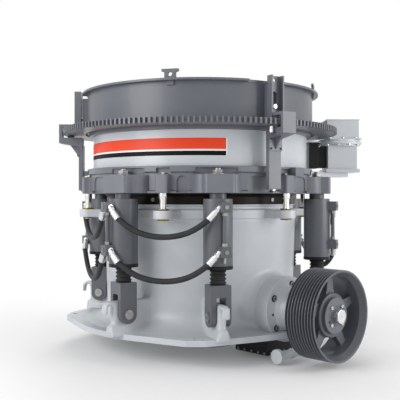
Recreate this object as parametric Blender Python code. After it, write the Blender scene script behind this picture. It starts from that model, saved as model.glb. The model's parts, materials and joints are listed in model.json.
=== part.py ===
"""Cone crusher with a hydraulic tramp release, a geared bowl adjustment and a V-belt sheave.

Units are metres and +Z is up. The origin is the centre of the frame hub's flat foot.
+X runs along the countershaft towards the sheave, so the machine mirrors about the XZ plane.
The frame carries an adjustment ring that six hydraulic cylinders hold down. The bowl, its cap
and the feed hopper screw up and down in that ring when the toothed drive ring turns.
"""

from math import atan2, cos, pi, radians, sin, sqrt

import bmesh
import bpy
from mathutils import Matrix, Vector

# Clearances
SEAT_GAP = 0.0003
RUNNING_GAP = 0.0008
MOVING_GAP = 0.006

# Facet counts of the turned pieces
RING_SEGMENTS = 36
INNER_SEGMENTS = 20
SHEAVE_SEGMENTS = 20
CYLINDER_SEGMENTS = 12
ROD_SEGMENTS = 8

# Driving sizes
BOWL_RADIUS = 1.033
FRAME_TOP = 1.334
FLANGE_UNDERSIDE = 0.200
SHEAVE_RADIUS = 0.376
FLOOR_ROOM = 0.054

# Wall of the frame
WALL_INSET = 0.108
WALL_TAPER = 0.025
WALL_THICKNESS = 0.125
WALL_TOP_RADIUS = BOWL_RADIUS - WALL_INSET
WALL_FOOT_RADIUS = WALL_TOP_RADIUS - WALL_TAPER
WALL_INNER_RADIUS = WALL_TOP_RADIUS - WALL_THICKNESS
FOOT_FILLET = 0.160
BAND_DROP = 0.121
BAND_BOTTOM = FRAME_TOP - BAND_DROP
BAND_HEIGHT = 0.072
BAND_TOP = BAND_BOTTOM + BAND_HEIGHT
BAND_STEP = 0.013
BAND_RADIUS = WALL_TOP_RADIUS + BAND_STEP
COLLAR_STEP = 0.018
RIM_STEP = 0.006

# Mounting flange
FLANGE_THICKNESS = 0.050
FLANGE_TOP = FLANGE_UNDERSIDE + FLANGE_THICKNESS
FLANGE_MARGIN = 0.065
CORNER_MARGIN = 0.110
CORNER_HALF_TIP = 0.070
CORNER_HALF_WIDTH = 0.520
CORNER_ANGLES = (45, 135, 225, 315)
CORNER_HOLE_RADIUS = 0.024
CORNER_HOLE_MARGIN = 0.080
CORNER_SETBACK = 0.121

# Circles that the ring's pieces stand on
RING_WALL = 0.032
RING_RADIUS = BOWL_RADIUS + RING_WALL
CYLINDER_MARGIN = 0.065
CYLINDER_CIRCLE = RING_RADIUS + CYLINDER_MARGIN
PIN_MARGIN = 0.020
PIN_CIRCLE = RING_RADIUS + PIN_MARGIN
FLANGE_RADIUS = CYLINDER_CIRCLE + FLANGE_MARGIN
CORNER_REACH = FLANGE_RADIUS + CORNER_MARGIN
CORNER_HOLE_REACH = CORNER_REACH - CORNER_HOLE_MARGIN
CORNER_START = WALL_FOOT_RADIUS + CORNER_SETBACK

# Bowl, liner and cap
LIP_GAP = 0.015
BOWL_LIP_RADIUS = WALL_INNER_RADIUS - LIP_GAP
LINER_SEAT_INSET = 0.015
LINER_SEAT_RADIUS = BOWL_LIP_RADIUS - LINER_SEAT_INSET
THROAT_INSET = 0.225
THROAT_RADIUS = BOWL_LIP_RADIUS - THROAT_INSET
LINER_THICKNESS = 0.050
LIP_DROP = 0.099
BOWL_LIP = FRAME_TOP - LIP_DROP
BOWL_KNEE = 0.030
LINER_HANG = 0.020
LINER_BOTTOM = BOWL_LIP - LINER_HANG
LINER_KNEE_RISE = 0.130
LINER_KNEE_INSET = 0.020
THROAT_RISE = 0.485
THROAT_TOP = BOWL_LIP + THROAT_RISE
THROAT_BEND = 0.050
THROAT_STEP = 0.020
THROAT_LIP = 0.010
CAP_OVERHANG = 0.042
CAP_RADIUS = BOWL_RADIUS + CAP_OVERHANG
CAP_HEIGHT = 0.033
FUNNEL_WALL = 0.073
CAP_INNER_RADIUS = BOWL_RADIUS - FUNNEL_WALL

# Crushing head
MANTLE_FOOT_INSET = 0.105
MANTLE_FOOT_RADIUS = BOWL_LIP_RADIUS - MANTLE_FOOT_INSET
MANTLE_HANG = 0.015
MANTLE_FOOT = LINER_BOTTOM - MANTLE_HANG
MANTLE_HEIGHT = 0.600
MANTLE_TOP = MANTLE_FOOT + MANTLE_HEIGHT
MANTLE_THICKNESS = 0.055
MANTLE_CROWN = 0.100
MANTLE_LEDGE = 0.015
CLOSED_SIDE_GAP = 0.035
FEED_PLATE_RADIUS = 0.235
FEED_PLATE_HEIGHT = 0.050
FEED_PLATE_DISH = 0.020
FEED_PLATE_CHAMFER = 0.030
DISH_RADIUS = 0.090
MANTLE_TOP_RADIUS = FEED_PLATE_RADIUS + MANTLE_LEDGE
SHAFT_RADIUS = 0.150
SHAFT_SOCKET = 0.400
SHAFT_HEADROOM = 0.140
SHAFT_TAPER = 0.060
SHAFT_NECK_SHARE = 0.70
SHAFT_TIP_SHARE = 0.40
ECCENTRIC_WALL = 0.085
ECCENTRIC_RADIUS = SHAFT_RADIUS + ECCENTRIC_WALL
ECCENTRIC_HEIGHT = 0.200
ECCENTRIC_FLANGE = 0.060
ECCENTRIC_FOOT = 0.050
COUNTERWEIGHT_RADIUS = 0.430
COUNTERWEIGHT_HEIGHT = 0.110
COUNTERWEIGHT_SLOPE = 0.010
HEAD_ROOM = 0.030
HEAD_ROOM_STEP = 0.050

# Hub of the frame with its arms
HUB_DROP = 0.280
HUB_TOP = MANTLE_FOOT - HUB_DROP
HUB_FOOT_RADIUS = 0.420
HUB_FOOT_HEIGHT = 0.180
HUB_TOP_RADIUS = 0.300
HUB_SHOULDER = 0.040
HUB_COLLAR = 0.260
ARM_ANGLES = (90, 180, 270)
ARM_WIDTH = 0.160
ARM_ROOT_RADIUS = 0.200
ARM_ROOT_FOOT = 0.160
ARM_RISE = 0.150
ARM_HAUNCH = 0.160

# Guide pins of the adjustment ring and their bosses on the frame band
PIN_ANGLES = (0, 60, 120, 180, 240, 300)
PIN_RADIUS = 0.029
PIN_LENGTH = 0.310
PIN_ROOT = 0.020
PIN_BOSS_RADIUS = 0.082
BUSH_RADIUS = 0.050
BUSH_STAND = 0.022

# Adjustment ring
SKIRT_HEIGHT = 0.096
RING_BOTTOM = FRAME_TOP + SKIRT_HEIGHT
RING_HEIGHT = 0.230
RING_TOP = RING_BOTTOM + RING_HEIGHT
RING_LIP = 0.022
RING_LIP_HEIGHT = 0.030
PAD_STEP = 0.023
PAD_RADIUS = RING_RADIUS + PAD_STEP
PAD_HEIGHT = 0.060
FLAT_INSET = 0.010
SEAT_FLAT = PAD_RADIUS - FLAT_INSET
EAR_HEIGHT = 0.156
EAR_TOP = RING_BOTTOM + EAR_HEIGHT
EAR_REACH = 0.130
EAR_HALF_FACE = 0.120
EAR_HALF_WIDTH = 0.195
EAR_CHAMFER = 0.020
EAR_SHOULDER = 0.030
EAR_SINK = 0.015
RECESS_HALF_WIDTH = 0.180
RECESS_DEPTH = 0.006
RECESS_SINK = 0.010
RECESS_ROOF = 0.016
PIN_EAR_HALF_WIDTH = 0.056
PIN_EAR_REACH = 0.055
EAR_NUT_RADIUS = 0.048
EAR_NUT_HEIGHT = 0.050
POCKET_RISE = 0.148
POCKET_DEPTH = 0.016
NARROW_POCKETS = (51.5, -51.5, 172.3, -172.3)
NARROW_POCKET_HALF = 0.047
WIDE_POCKETS = (15.0, -15.0, 102.5, -102.5, 135.0, -135.0)
WIDE_POCKET_HALF = 0.120
POCKET_CORNER = 0.046
SKIRT_STEP = 0.020
SKIRT_RADIUS = WALL_TOP_RADIUS - SKIRT_STEP
SKIRT_CHAMFER = 0.030
SHELF_RISE = 0.070
BOWL_SHELF = RING_BOTTOM + SHELF_RISE
SHELF_CHAMFER = 0.040
SHELF_SLOPE = 0.055
SKIRT_WALL = 0.060
SKIRT_INNER_RADIUS = SKIRT_RADIUS - SKIRT_WALL

# Tramp release cylinders: place angle and the angle that each clevis faces
CYLINDER_ANGLES = (-36.0, -78.5, -157.5, 157.5, 78.5, 36.0)
CLEVIS_ANGLES = (-24.0, -98.0, -143.5, 143.5, 98.0, 24.0)
CYLINDER_RADIUS = 0.1225
CYLINDER_FLANGE = 0.013
CYLINDER_FLANGE_HEIGHT = 0.029
CYLINDER_NECK_RADIUS = 0.070
CYLINDER_NECK = 0.046
CYLINDER_TOP = RING_BOTTOM - CYLINDER_NECK
BORE_DEPTH = 0.260
ROD_RADIUS = 0.045
ROD_END_ROOM = 0.040
MANIFOLD_SIZE = 0.086
MANIFOLD_SINK = 0.012
MANIFOLD_PIPE_RADIUS = 0.014

# Frame lug and clevis under each cylinder
LUG_THICKNESS = 0.072
LUG_RISE = 0.275
LUG_TOP = FLANGE_TOP + LUG_RISE
LUG_ROOT_DEPTH = 0.040
LUG_FLARE = 0.045
FLARE_RISE = 0.010
HOOK_REACH = 0.084
HOOK_THICKNESS = 0.030
HOOK_DROP = 0.085
CLEVIS_WIDTH = 0.186
CLEVIS_HALF = CLEVIS_WIDTH / 2
CLEVIS_PIN_RADIUS = 0.040
CLEVIS_PIN_STAND = 0.012
PIN_RISE = 0.161
PIN_HEIGHT = FLANGE_TOP + PIN_RISE
LUG_CLEARANCE = 0.019
LUG_FRONT = CLEVIS_HALF + LUG_CLEARANCE
CLEVIS_SLOT = LUG_THICKNESS + 0.014
SLOT_HEADROOM = 0.070
CLEVIS_SLOT_TOP = LUG_TOP + SLOT_HEADROOM
CLEVIS_BRIDGE = 0.084
CLEVIS_TOP = CLEVIS_SLOT_TOP + CLEVIS_BRIDGE

# Rubber boot round each rod
BOOT_LENGTH = 0.128
BOOT_FOLDS = 4
BOOT_RADIUS = 0.066
BOOT_FOLD_DEPTH = 0.012
CYLINDER_BOTTOM = CLEVIS_TOP + BOOT_LENGTH
MANIFOLD_DROP = 0.069
MANIFOLD_RISE = 0.148
MANIFOLD_HEIGHTS = (CYLINDER_TOP - MANIFOLD_DROP, CYLINDER_BOTTOM + MANIFOLD_RISE)

# Height of the bowl drum above the adjustment ring
DRUM_RISE = 0.307
BOWL_TOP = RING_TOP + DRUM_RISE

# Toothed drive ring and its three channels
DRIVE_RISE = 0.028
DRIVE_BOTTOM = BOWL_TOP + DRIVE_RISE
DRIVE_THICKNESS = 0.049
DRIVE_TOP = DRIVE_BOTTOM + DRIVE_THICKNESS
HOPPER_MARGIN = 0.055
HOPPER_RADIUS = BOWL_RADIUS + HOPPER_MARGIN
DRIVE_INNER_MARGIN = 0.022
DRIVE_INNER_RADIUS = HOPPER_RADIUS + DRIVE_INNER_MARGIN
DRIVE_WIDTH = 0.208
DRIVE_TIP_RADIUS = DRIVE_INNER_RADIUS + DRIVE_WIDTH
TOOTH_COUNT = 180
TOOTH_DEPTH = 0.027
TOOTH_ROOT_SHARE = 0.26
TOOTH_TIP_SHARE = 0.22
POST_ANGLES = (-9.0, 111.0, 231.0)
CHANNEL_WIDTH = 0.150
CHANNEL_DEPTH = 0.088
CHANNEL_WALL = 0.016
CHANNEL_HEIGHT = 0.373
CHANNEL_TOP = DRIVE_TOP + CHANNEL_HEIGHT
CHANNEL_SINK = 0.010
CHANNEL_HOLE_RADIUS = 0.016
CHANNEL_HOLE_DROP = 0.035
BOWL_TRAVEL = 0.101
STUD_RADIUS = 0.020
STUD_ROOM = 0.003
STUD_RISE = 0.116
STUD_HEIGHT = DRIVE_TOP + STUD_RISE
STUD_STAND = 0.024

# Hopper
HOPPER_WALL = 0.016
HOPPER_FOOT_HEIGHT = 0.020
HOPPER_DROP = 0.035
HOPPER_TOP = CHANNEL_TOP - HOPPER_DROP
RIM_WIDTH = 0.055
RIM_RADIUS = HOPPER_RADIUS + RIM_WIDTH
RIM_THICKNESS = 0.020
RIM_GAP_HALF_WIDTH = 0.150
RIM_GAP_MARGIN = 0.004
LUG_PLATE_ANGLES = (-56.5, 33.5, 123.5, 213.5)
LUG_PLATE_HALF_STEM = 0.050
LUG_PLATE_HALF_HEAD = 0.075
LUG_PLATE_FOOT = 0.060
LUG_PLATE_RISE = 0.080
LUG_PLATE_TOP = HOPPER_TOP + LUG_PLATE_RISE
LUG_PLATE_LEDGE = 0.016
LUG_PLATE_SHOULDER = 0.028
LUG_PLATE_THICKNESS = 0.022
LUG_PLATE_FACE = 0.018
LUG_PLATE_HOLE_RADIUS = 0.017

# Roller posts on the adjustment ring
ROLLER_POST_HALF = 0.065
ROLLER_POST_MARGIN = 0.065
ROLLER_POST_INNER = RING_RADIUS + ROLLER_POST_MARGIN
ROLLER_POST_DEPTH = 0.075
ROLLER_POST_FRONT = ROLLER_POST_INNER + ROLLER_POST_DEPTH
ROLLER_POST_START = 0.032
ROLLER_POST_BOTTOM = RING_BOTTOM + ROLLER_POST_START
ROLLER_POST_DROP = 0.095
ROLLER_POST_TOP = DRIVE_BOTTOM - ROLLER_POST_DROP
POST_FOOT_HALF = 0.052
POST_FOOT_DROP = 0.055
POST_FOOT_LEDGE = 0.010
ROLLER_RADIUS = 0.030
ROLLER_LENGTH = 0.080
ROLLER_STAND = 0.010
ROLLER_REACH = ROLLER_POST_FRONT + ROLLER_STAND
BRACKET_MARGIN = 0.082
BRACKET_OUTER = DRIVE_TIP_RADIUS + BRACKET_MARGIN
BRACKET_WALL = 0.030
BRACKET_HEAD = 0.045
BRACKET_SLOPE = 0.020
BRACKET_HALF = 0.070
GUSSET_HALF = 0.006
GUSSET_HEIGHT = 0.110
GUSSET_REACH = 0.090
HEAD_PLATE_THICKNESS = 0.010
HEAD_PLATE_HEIGHT = 0.115
HEAD_PLATE_HALF = 0.059

# Adjustment drive unit beside the drive ring
DRIVE_UNIT_ANGLE = 62.0
UNIT_COVER_HALF = 0.160
UNIT_ROOM = 0.022
DRIVE_UNIT_CIRCLE = DRIVE_TIP_RADIUS + UNIT_ROOM + UNIT_COVER_HALF
UNIT_COVER_DROP = 0.010
UNIT_COVER_BOTTOM = DRIVE_BOTTOM - UNIT_COVER_DROP
UNIT_COVER_HEIGHT = 0.205
UNIT_LIP = 0.020
UNIT_LIP_HEIGHT = 0.012
UNIT_PLATE_RADIUS = 0.230
UNIT_PLATE_HEIGHT = 0.065
UNIT_PLATE_BOTTOM = UNIT_COVER_BOTTOM - UNIT_PLATE_HEIGHT
UNIT_FLANGE_STEP = 0.030
UNIT_FLANGE_RISE = 0.018
UNIT_BOX_HALF = 0.150
UNIT_BASE_HALF = 0.175
UNIT_BASE_BOTTOM = RING_TOP - UNIT_COVER_DROP
UNIT_BASE_THICKNESS = 0.030
UNIT_BOX_BOTTOM = UNIT_BASE_BOTTOM + UNIT_BASE_THICKNESS
UNIT_ARM_HALF = 0.100
UNIT_ARM_DROP = 0.055
UNIT_ARM_END = 0.050
UNIT_FUSE = 0.010

# Junction box on the adjustment ring
JUNCTION_ANGLE = 8.0
JUNCTION_HALF = 0.065
JUNCTION_DEPTH = 0.062
JUNCTION_FOOT = 0.056
JUNCTION_HEAD = 0.008

# Countershaft, its box and the sheave
SHAFT_HEIGHT = SHEAVE_RADIUS + FLOOR_ROOM
BOX_FACE_MARGIN = 0.156
BOX_FACE = WALL_FOOT_RADIUS + BOX_FACE_MARGIN
BOX_FLANGE_RADIUS = 0.283
BOX_FLANGE_THICKNESS = 0.032
BOX_FLANGE_ROOM = 0.020
BOX_BARREL_RADIUS = 0.200
BOX_BARREL_START = 0.460
BOX_NECK_RADIUS = 0.150
BOX_NECK_LENGTH = 0.316
BOX_NECK_END = BOX_FACE + BOX_NECK_LENGTH
BOX_NECK_FLARE = 0.100
BOX_NECK_ROOT = 0.030
BOX_NECK_STEP = 0.010
BOX_BOLT_COUNT = 8
BOX_BOLT_INSET = 0.051
BOX_BOLT_CIRCLE = BOX_FLANGE_RADIUS - BOX_BOLT_INSET
BOX_BOLT_RADIUS = 0.022
BOX_BOLT_HEIGHT = 0.016
BOLT_SINK = 0.005
TUNNEL_INSET = 0.012
TUNNEL_RADIUS = BOX_FLANGE_RADIUS - TUNNEL_INSET
TUNNEL_START = 0.180
BOSS_FACE = BOX_FACE - BOX_FLANGE_THICKNESS - SEAT_GAP
BOSS_FLARE = 0.100
BOSS_FLARE_LENGTH = 0.164
BOSS_WAIST = 0.035
BOSS_WAIST_LENGTH = 0.094
BOSS_ROOT_SINK = 0.010
BOSS_LAND = 0.030
COUNTERSHAFT_RADIUS = 0.058
COUNTERSHAFT_START = 0.500
SHEAVE_ROOM = 0.009
SHEAVE_BACK = BOX_NECK_END + SHEAVE_ROOM
GROOVE_COUNT = 10
GROOVE_PITCH = 0.0284
GROOVE_DEPTH = 0.024
GROOVE_TOP_SHARE = 0.72
GROOVE_BOTTOM_SHARE = 0.36
SHEAVE_FRONT = SHEAVE_BACK + GROOVE_COUNT * GROOVE_PITCH
SHEAVE_RIM_THICKNESS = 0.050
SHEAVE_RIM_CHAMFER = 0.014
SHEAVE_RIM_SLOPE = 0.012
WEB_INSET = 0.089
WEB_BACK = SHEAVE_BACK + WEB_INSET
WEB_THICKNESS = 0.055
WEB_FRONT = WEB_BACK + WEB_THICKNESS
HUB_STAND = 0.030
SHEAVE_HUB_RADIUS = 0.185
SPOKE_COUNT = 5
SPOKE_WIDTH = 0.085
SPOKE_FUSE = 0.020
BUSHING_RADIUS = 0.120
BUSHING_FLANGE = 0.150
BUSHING_THICKNESS = 0.030
BUSHING_BOLTS = 6
BUSHING_BOLT_CIRCLE = 0.092
BUSHING_BOLT_RADIUS = 0.014
BUSHING_BOLT_HEIGHT = 0.014
COUNTERSHAFT_STAND = 0.003
COUNTERSHAFT_END = SHEAVE_FRONT + COUNTERSHAFT_STAND

# Guard plate under the countershaft boss
GUARD_LENGTH = 0.170
GUARD_HALF_WIDTH = 0.170
GUARD_THICKNESS = 0.055
GUARD_RISE = 0.016
GUARD_TOP = SHAFT_HEIGHT - TUNNEL_RADIUS + GUARD_RISE
GUARD_INSET = 0.060
GUARD_BACK = WALL_FOOT_RADIUS - GUARD_INSET
GUARD_ROOM = 0.020
GUARD_CUT_HALF = 0.420

# Oil drain under the countershaft box
DRAIN_STAND = 0.160
DRAIN_X = BOX_FACE + DRAIN_STAND
DRAIN_HEIGHT = 0.075
DRAIN_STUB_RADIUS = 0.040
DRAIN_RADIUS = 0.036
DRAIN_LENGTH = 0.260
DRAIN_FLANGE_RADIUS = 0.060
DRAIN_FLANGE_THICKNESS = 0.025
DRAIN_ELBOW = 0.011

# Hoses between neighbouring cylinders
HOSE_RADIUS = 0.024
HOSE_POINT_SPACING = 0.130
HOSE_LEAD = 0.050
FITTING_RADIUS = 0.021
FITTING_LENGTH = 0.075
FITTING_SINK = 0.020
FITTING_SLOPE = 48.0
FITTING_SEGMENTS = 6
HOSE_GAPS = ((0, 1), (1, 2), (2, 3), (3, 4), (4, 5))
HOSE_SAGS = ((0.150, 0.150), (0.200, 0.220), (0.150, 0.160), (0.200, 0.220), (0.150, 0.150))
HOSE_SHAPE = ((0.00, 0.00), (0.10, 0.40), (0.22, 0.74), (0.36, 0.94), (0.50, 1.00),
              (0.64, 0.94), (0.78, 0.74), (0.90, 0.40), (1.00, 0.00))
CURVE_STEPS = 12

ALONG_SHAFT = Matrix.Translation((0, 0, SHAFT_HEIGHT)) @ Matrix.Rotation(pi / 2, 4, "Y")
UPRIGHT = Matrix.Rotation(pi / 2, 4, "X")


def clear_scene():
    """Remove every object of the start-up scene."""
    for item in list(bpy.data.objects):
        bpy.data.objects.remove(item, do_unlink=True)


def paint(name, colour, roughness, metallic=0.0):
    """Make one Principled material from a linear colour."""
    material = bpy.data.materials.new(name)
    material.use_nodes = True
    shader = material.node_tree.nodes["Principled BSDF"]
    shader.inputs["Base Color"].default_value = (*colour, 1.0)
    shader.inputs["Roughness"].default_value = roughness
    shader.inputs["Metallic"].default_value = metallic
    return material


def polar(radius, angle, height=0.0):
    """Point at a radius and an angle in degrees round the machine's axis."""
    return Vector((radius * cos(radians(angle)), radius * sin(radians(angle)), height))


def facing(angle):
    """Frame on the machine's axis whose local X points along an angle."""
    return Matrix.Rotation(radians(angle), 4, "Z")


def station(radius, place, turn):
    """Frame at a place round the machine whose local X points along a turn angle."""
    return Matrix.Translation(polar(radius, place)) @ facing(turn)


def release_frame(index):
    """Frame of one tramp release, its local X pointing the way that its clevis faces."""
    return station(CYLINDER_CIRCLE, CYLINDER_ANGLES[index], CLEVIS_ANGLES[index])


def arc(centre, radius, start, end, steps):
    """Points on an arc from a start angle to an end angle in degrees."""
    angles = [radians(start + (end - start) * step / steps) for step in range(steps + 1)]
    return [(centre[0] + radius * cos(angle), centre[1] + radius * sin(angle)) for angle in angles]


def bore_radius(radius, gap, segments):
    """Corner radius of a faceted bore whose flats clear a round piece by a gap."""
    return (radius + gap) / cos(pi / segments)


def as_object(shape, name="piece"):
    """Turn a bmesh into an object with its faces pointing out."""
    bmesh.ops.recalc_face_normals(shape, faces=shape.faces)
    mesh = bpy.data.meshes.new(name)
    shape.to_mesh(mesh)
    shape.free()
    item = bpy.data.objects.new(name, mesh)
    bpy.context.collection.objects.link(item)
    return item


def turned(profile, segments, frame=None):
    """Spin a closed outline of (radius, height) points round the Z axis."""
    shape = bmesh.new()
    verts = [shape.verts.new((radius, 0.0, height)) for radius, height in profile]
    edges = [shape.edges.new(ends) for ends in zip(verts, verts[1:] + verts[:1])
             if max(end.co.x for end in ends) > 0]
    bmesh.ops.spin(shape, geom=verts + edges, cent=(0, 0, 0), axis=(0, 0, 1), angle=2 * pi,
                   steps=segments, use_merge=True, use_duplicate=False)
    bmesh.ops.remove_doubles(shape, verts=shape.verts, dist=1e-6)
    bmesh.ops.dissolve_degenerate(shape, edges=shape.edges, dist=1e-6)
    if frame is not None:
        bmesh.ops.transform(shape, matrix=frame, verts=shape.verts)
    return as_object(shape)


def extruded(outline, low, high, frame=None):
    """Extrude a closed outline of (x, y) points from one height to another."""
    shape = bmesh.new()
    verts = [shape.verts.new((x, y, low)) for x, y in outline]
    face = shape.faces.new(verts)
    grown = bmesh.ops.extrude_face_region(shape, geom=[face])
    moved = [part for part in grown["geom"] if isinstance(part, bmesh.types.BMVert)]
    bmesh.ops.translate(shape, verts=moved, vec=(0, 0, high - low))
    if frame is not None:
        bmesh.ops.transform(shape, matrix=frame, verts=shape.verts)
    return as_object(shape)


def block(low, high, frame=None):
    """Box between two corners."""
    outline = [(low[0], low[1]), (high[0], low[1]), (high[0], high[1]), (low[0], high[1])]
    return extruded(outline, low[2], high[2], frame)


def rod(start, end, radius, segments=ROD_SEGMENTS):
    """Round bar between two points."""
    start = Vector(start)
    end = Vector(end)
    along = end - start
    turn = along.to_track_quat("Z", "Y").to_matrix().to_4x4()
    shape = bmesh.new()
    bmesh.ops.create_cone(shape, cap_ends=True, segments=segments, radius1=radius, radius2=radius,
                          depth=along.length, matrix=Matrix.Translation((start + end) / 2) @ turn)
    return as_object(shape)


def upright_rod(radius, place, angle, low, high, segments=ROD_SEGMENTS):
    """Round bar that stands at a place round the machine."""
    return rod(polar(place, angle, low), polar(place, angle, high), radius, segments)


def combine(body, pieces, operation):
    """Join pieces to a body, or cut them from it, with exact Booleans."""
    for piece in pieces:
        step = body.modifiers.new("step", "BOOLEAN")
        step.operation = operation
        step.object = piece
    graph = bpy.context.evaluated_depsgraph_get()
    mesh = bpy.data.meshes.new_from_object(body.evaluated_get(graph))
    body.modifiers.clear()
    body.data = mesh
    for piece in pieces:
        bpy.data.objects.remove(piece, do_unlink=True)
    return body


def join(body, pieces):
    """Fuse pieces to a body."""
    return combine(body, pieces, "UNION")


def cut(body, pieces):
    """Cut pieces out of a body."""
    return combine(body, pieces, "DIFFERENCE")


def empty(name, location, parent=None):
    """Empty that carries the pieces of one body."""
    item = bpy.data.objects.new(name, None)
    item.location = location
    item.parent = parent
    bpy.context.collection.objects.link(item)
    return item


def lug_outline():
    """Side view of one frame lug with its outward hook, in its own X and Z."""
    foot = FLANGE_TOP - FLANGE_THICKNESS / 2
    inner = (HOOK_REACH - HOOK_THICKNESS) / 2
    outer = inner + HOOK_THICKNESS
    centre = (LUG_FRONT + inner, LUG_TOP - outer)
    root = WALL_INNER_RADIUS - CYLINDER_CIRCLE + LUG_ROOT_DEPTH
    outline = [(root, foot), (LUG_FRONT, foot)]
    outline += arc(centre, inner, 180, 0, 4)
    outline += [(centre[0] + inner, LUG_TOP - HOOK_DROP), (centre[0] + outer, LUG_TOP - HOOK_DROP)]
    outline += arc(centre, outer, 0, 90, 3)
    outline += [(root, LUG_TOP)]
    return outline


def make_lug(index):
    """One upright lug with a flared foot, which a clevis straddles."""
    frame = release_frame(index)
    half = LUG_THICKNESS / 2
    lug = extruded(lug_outline(), -half, half, frame @ UPRIGHT)
    foot = FLANGE_TOP - FLANGE_THICKNESS / 2
    flare_top = PIN_HEIGHT - CLEVIS_HALF - MOVING_GAP
    flare_foot = foot + FLARE_RISE
    wide = half + LUG_FLARE
    narrow = half - FLARE_RISE / 2
    flare = [(-wide, flare_foot), (wide, flare_foot), (narrow, flare_top), (-narrow, flare_top)]
    root = WALL_INNER_RADIUS - CYLINDER_CIRCLE + LUG_ROOT_DEPTH + FLARE_RISE
    across = frame @ Matrix.Rotation(pi / 2, 4, "Z") @ UPRIGHT
    join(lug, [extruded(flare, root, LUG_FRONT + LUG_FLARE, across)])
    reach = Vector((0, LUG_THICKNESS, 0))
    centre = Vector((0, 0, PIN_HEIGHT))
    radius = bore_radius(CLEVIS_PIN_RADIUS, SEAT_GAP, ROD_SEGMENTS)
    return cut(lug, [rod(frame @ (centre - reach), frame @ (centre + reach), radius)])


def make_wall():
    """Turned wall of the frame with its flange and its band."""
    foot = WALL_FOOT_RADIUS + FOOT_FILLET
    spring = FLANGE_TOP + BAND_STEP + FOOT_FILLET
    wall = [(WALL_INNER_RADIUS, FLANGE_UNDERSIDE), (FLANGE_RADIUS, FLANGE_UNDERSIDE),
            (FLANGE_RADIUS, FLANGE_TOP)]
    wall += arc((foot, spring), FOOT_FILLET, 256, 180, 3)
    wall += [(WALL_TOP_RADIUS, BAND_BOTTOM - BAND_STEP), (BAND_RADIUS, BAND_BOTTOM),
             (BAND_RADIUS, BAND_TOP),
             (WALL_TOP_RADIUS - COLLAR_STEP, BAND_TOP + BAND_STEP),
             (WALL_TOP_RADIUS - COLLAR_STEP, FRAME_TOP - 2 * RIM_STEP),
             (WALL_TOP_RADIUS - RIM_STEP, FRAME_TOP),
             (WALL_INNER_RADIUS, FRAME_TOP)]
    return turned(wall, RING_SEGMENTS)


def make_corner(angle):
    """One corner of the mounting flange with its bolt hole."""
    near = FLANGE_RADIUS * sin(pi / 4)
    outline = [(near, -CORNER_HALF_WIDTH - CORNER_MARGIN), (CORNER_START, -CORNER_HALF_WIDTH),
               (CORNER_REACH, -CORNER_HALF_TIP), (CORNER_REACH, CORNER_HALF_TIP),
               (CORNER_START, CORNER_HALF_WIDTH), (near, CORNER_HALF_WIDTH + CORNER_MARGIN)]
    return extruded(outline, FLANGE_UNDERSIDE, FLANGE_TOP, facing(angle))


def make_pin_boss(angle):
    """Boss of one guide pin on the frame band, with the ends of its bush."""
    boss = upright_rod(PIN_BOSS_RADIUS, PIN_CIRCLE, angle, BAND_BOTTOM, BAND_TOP)
    neck = block((WALL_TOP_RADIUS - WALL_THICKNESS / 2, -PIN_BOSS_RADIUS, BAND_BOTTOM),
                 (PIN_CIRCLE, PIN_BOSS_RADIUS, BAND_TOP), facing(angle))
    bush = upright_rod(BUSH_RADIUS, PIN_CIRCLE, angle, BAND_BOTTOM - BUSH_STAND, BAND_TOP + BUSH_STAND)
    return [boss, neck, bush]


def make_boss():
    """Flared boss on the wall that the countershaft box bolts to."""
    waist = BOSS_FACE - BOSS_WAIST_LENGTH
    return turned([(0, WALL_INNER_RADIUS + BOSS_ROOT_SINK),
                   (TUNNEL_RADIUS + BOSS_FLARE, WALL_INNER_RADIUS + BOSS_ROOT_SINK),
                   (TUNNEL_RADIUS + BOSS_FLARE, BOSS_FACE - BOSS_FLARE_LENGTH),
                   (TUNNEL_RADIUS + BOSS_WAIST, waist),
                   (TUNNEL_RADIUS, BOSS_FACE - BOSS_LAND), (TUNNEL_RADIUS, BOSS_FACE + BOSS_LAND),
                   (0, BOSS_FACE + BOSS_LAND)], INNER_SEGMENTS, ALONG_SHAFT)


def barrel_bore():
    """Cutter for the bore that the countershaft box slides in."""
    return rod((BOX_BARREL_START - SEAT_GAP, 0, SHAFT_HEIGHT), (BOX_FACE, 0, SHAFT_HEIGHT),
               bore_radius(BOX_BARREL_RADIUS, SEAT_GAP, INNER_SEGMENTS), INNER_SEGMENTS)


def make_main_frame():
    """Frame casting: wall, mounting flange, band, bosses and lugs."""
    body = make_wall()
    pieces = [make_corner(angle) for angle in CORNER_ANGLES]
    for angle in PIN_ANGLES:
        pieces += make_pin_boss(angle)
    pieces += [make_lug(index) for index in range(len(CYLINDER_ANGLES))]
    pieces.append(make_boss())
    join(body, pieces)
    holes = [upright_rod(CORNER_HOLE_RADIUS, CORNER_HOLE_REACH, angle, 0,
                         FRAME_TOP) for angle in CORNER_ANGLES]
    pin_bore = bore_radius(PIN_RADIUS, RUNNING_GAP, ROD_SEGMENTS)
    holes += [upright_rod(pin_bore, PIN_CIRCLE, angle, BAND_BOTTOM - BAND_HEIGHT, BAND_TOP + BAND_HEIGHT)
              for angle in PIN_ANGLES]
    holes.append(barrel_bore())
    holes.append(block((GUARD_BACK - GUARD_ROOM, -GUARD_CUT_HALF, 0),
                       (BOX_FACE + GUARD_ROOM, GUARD_CUT_HALF, GUARD_TOP + SEAT_GAP)))
    holes.append(rod((BOSS_FACE, 0, SHAFT_HEIGHT), (CORNER_REACH, 0, SHAFT_HEIGHT),
                     BOX_FLANGE_RADIUS + BOX_FLANGE_ROOM, INNER_SEGMENTS))
    return cut(body, holes)


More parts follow.
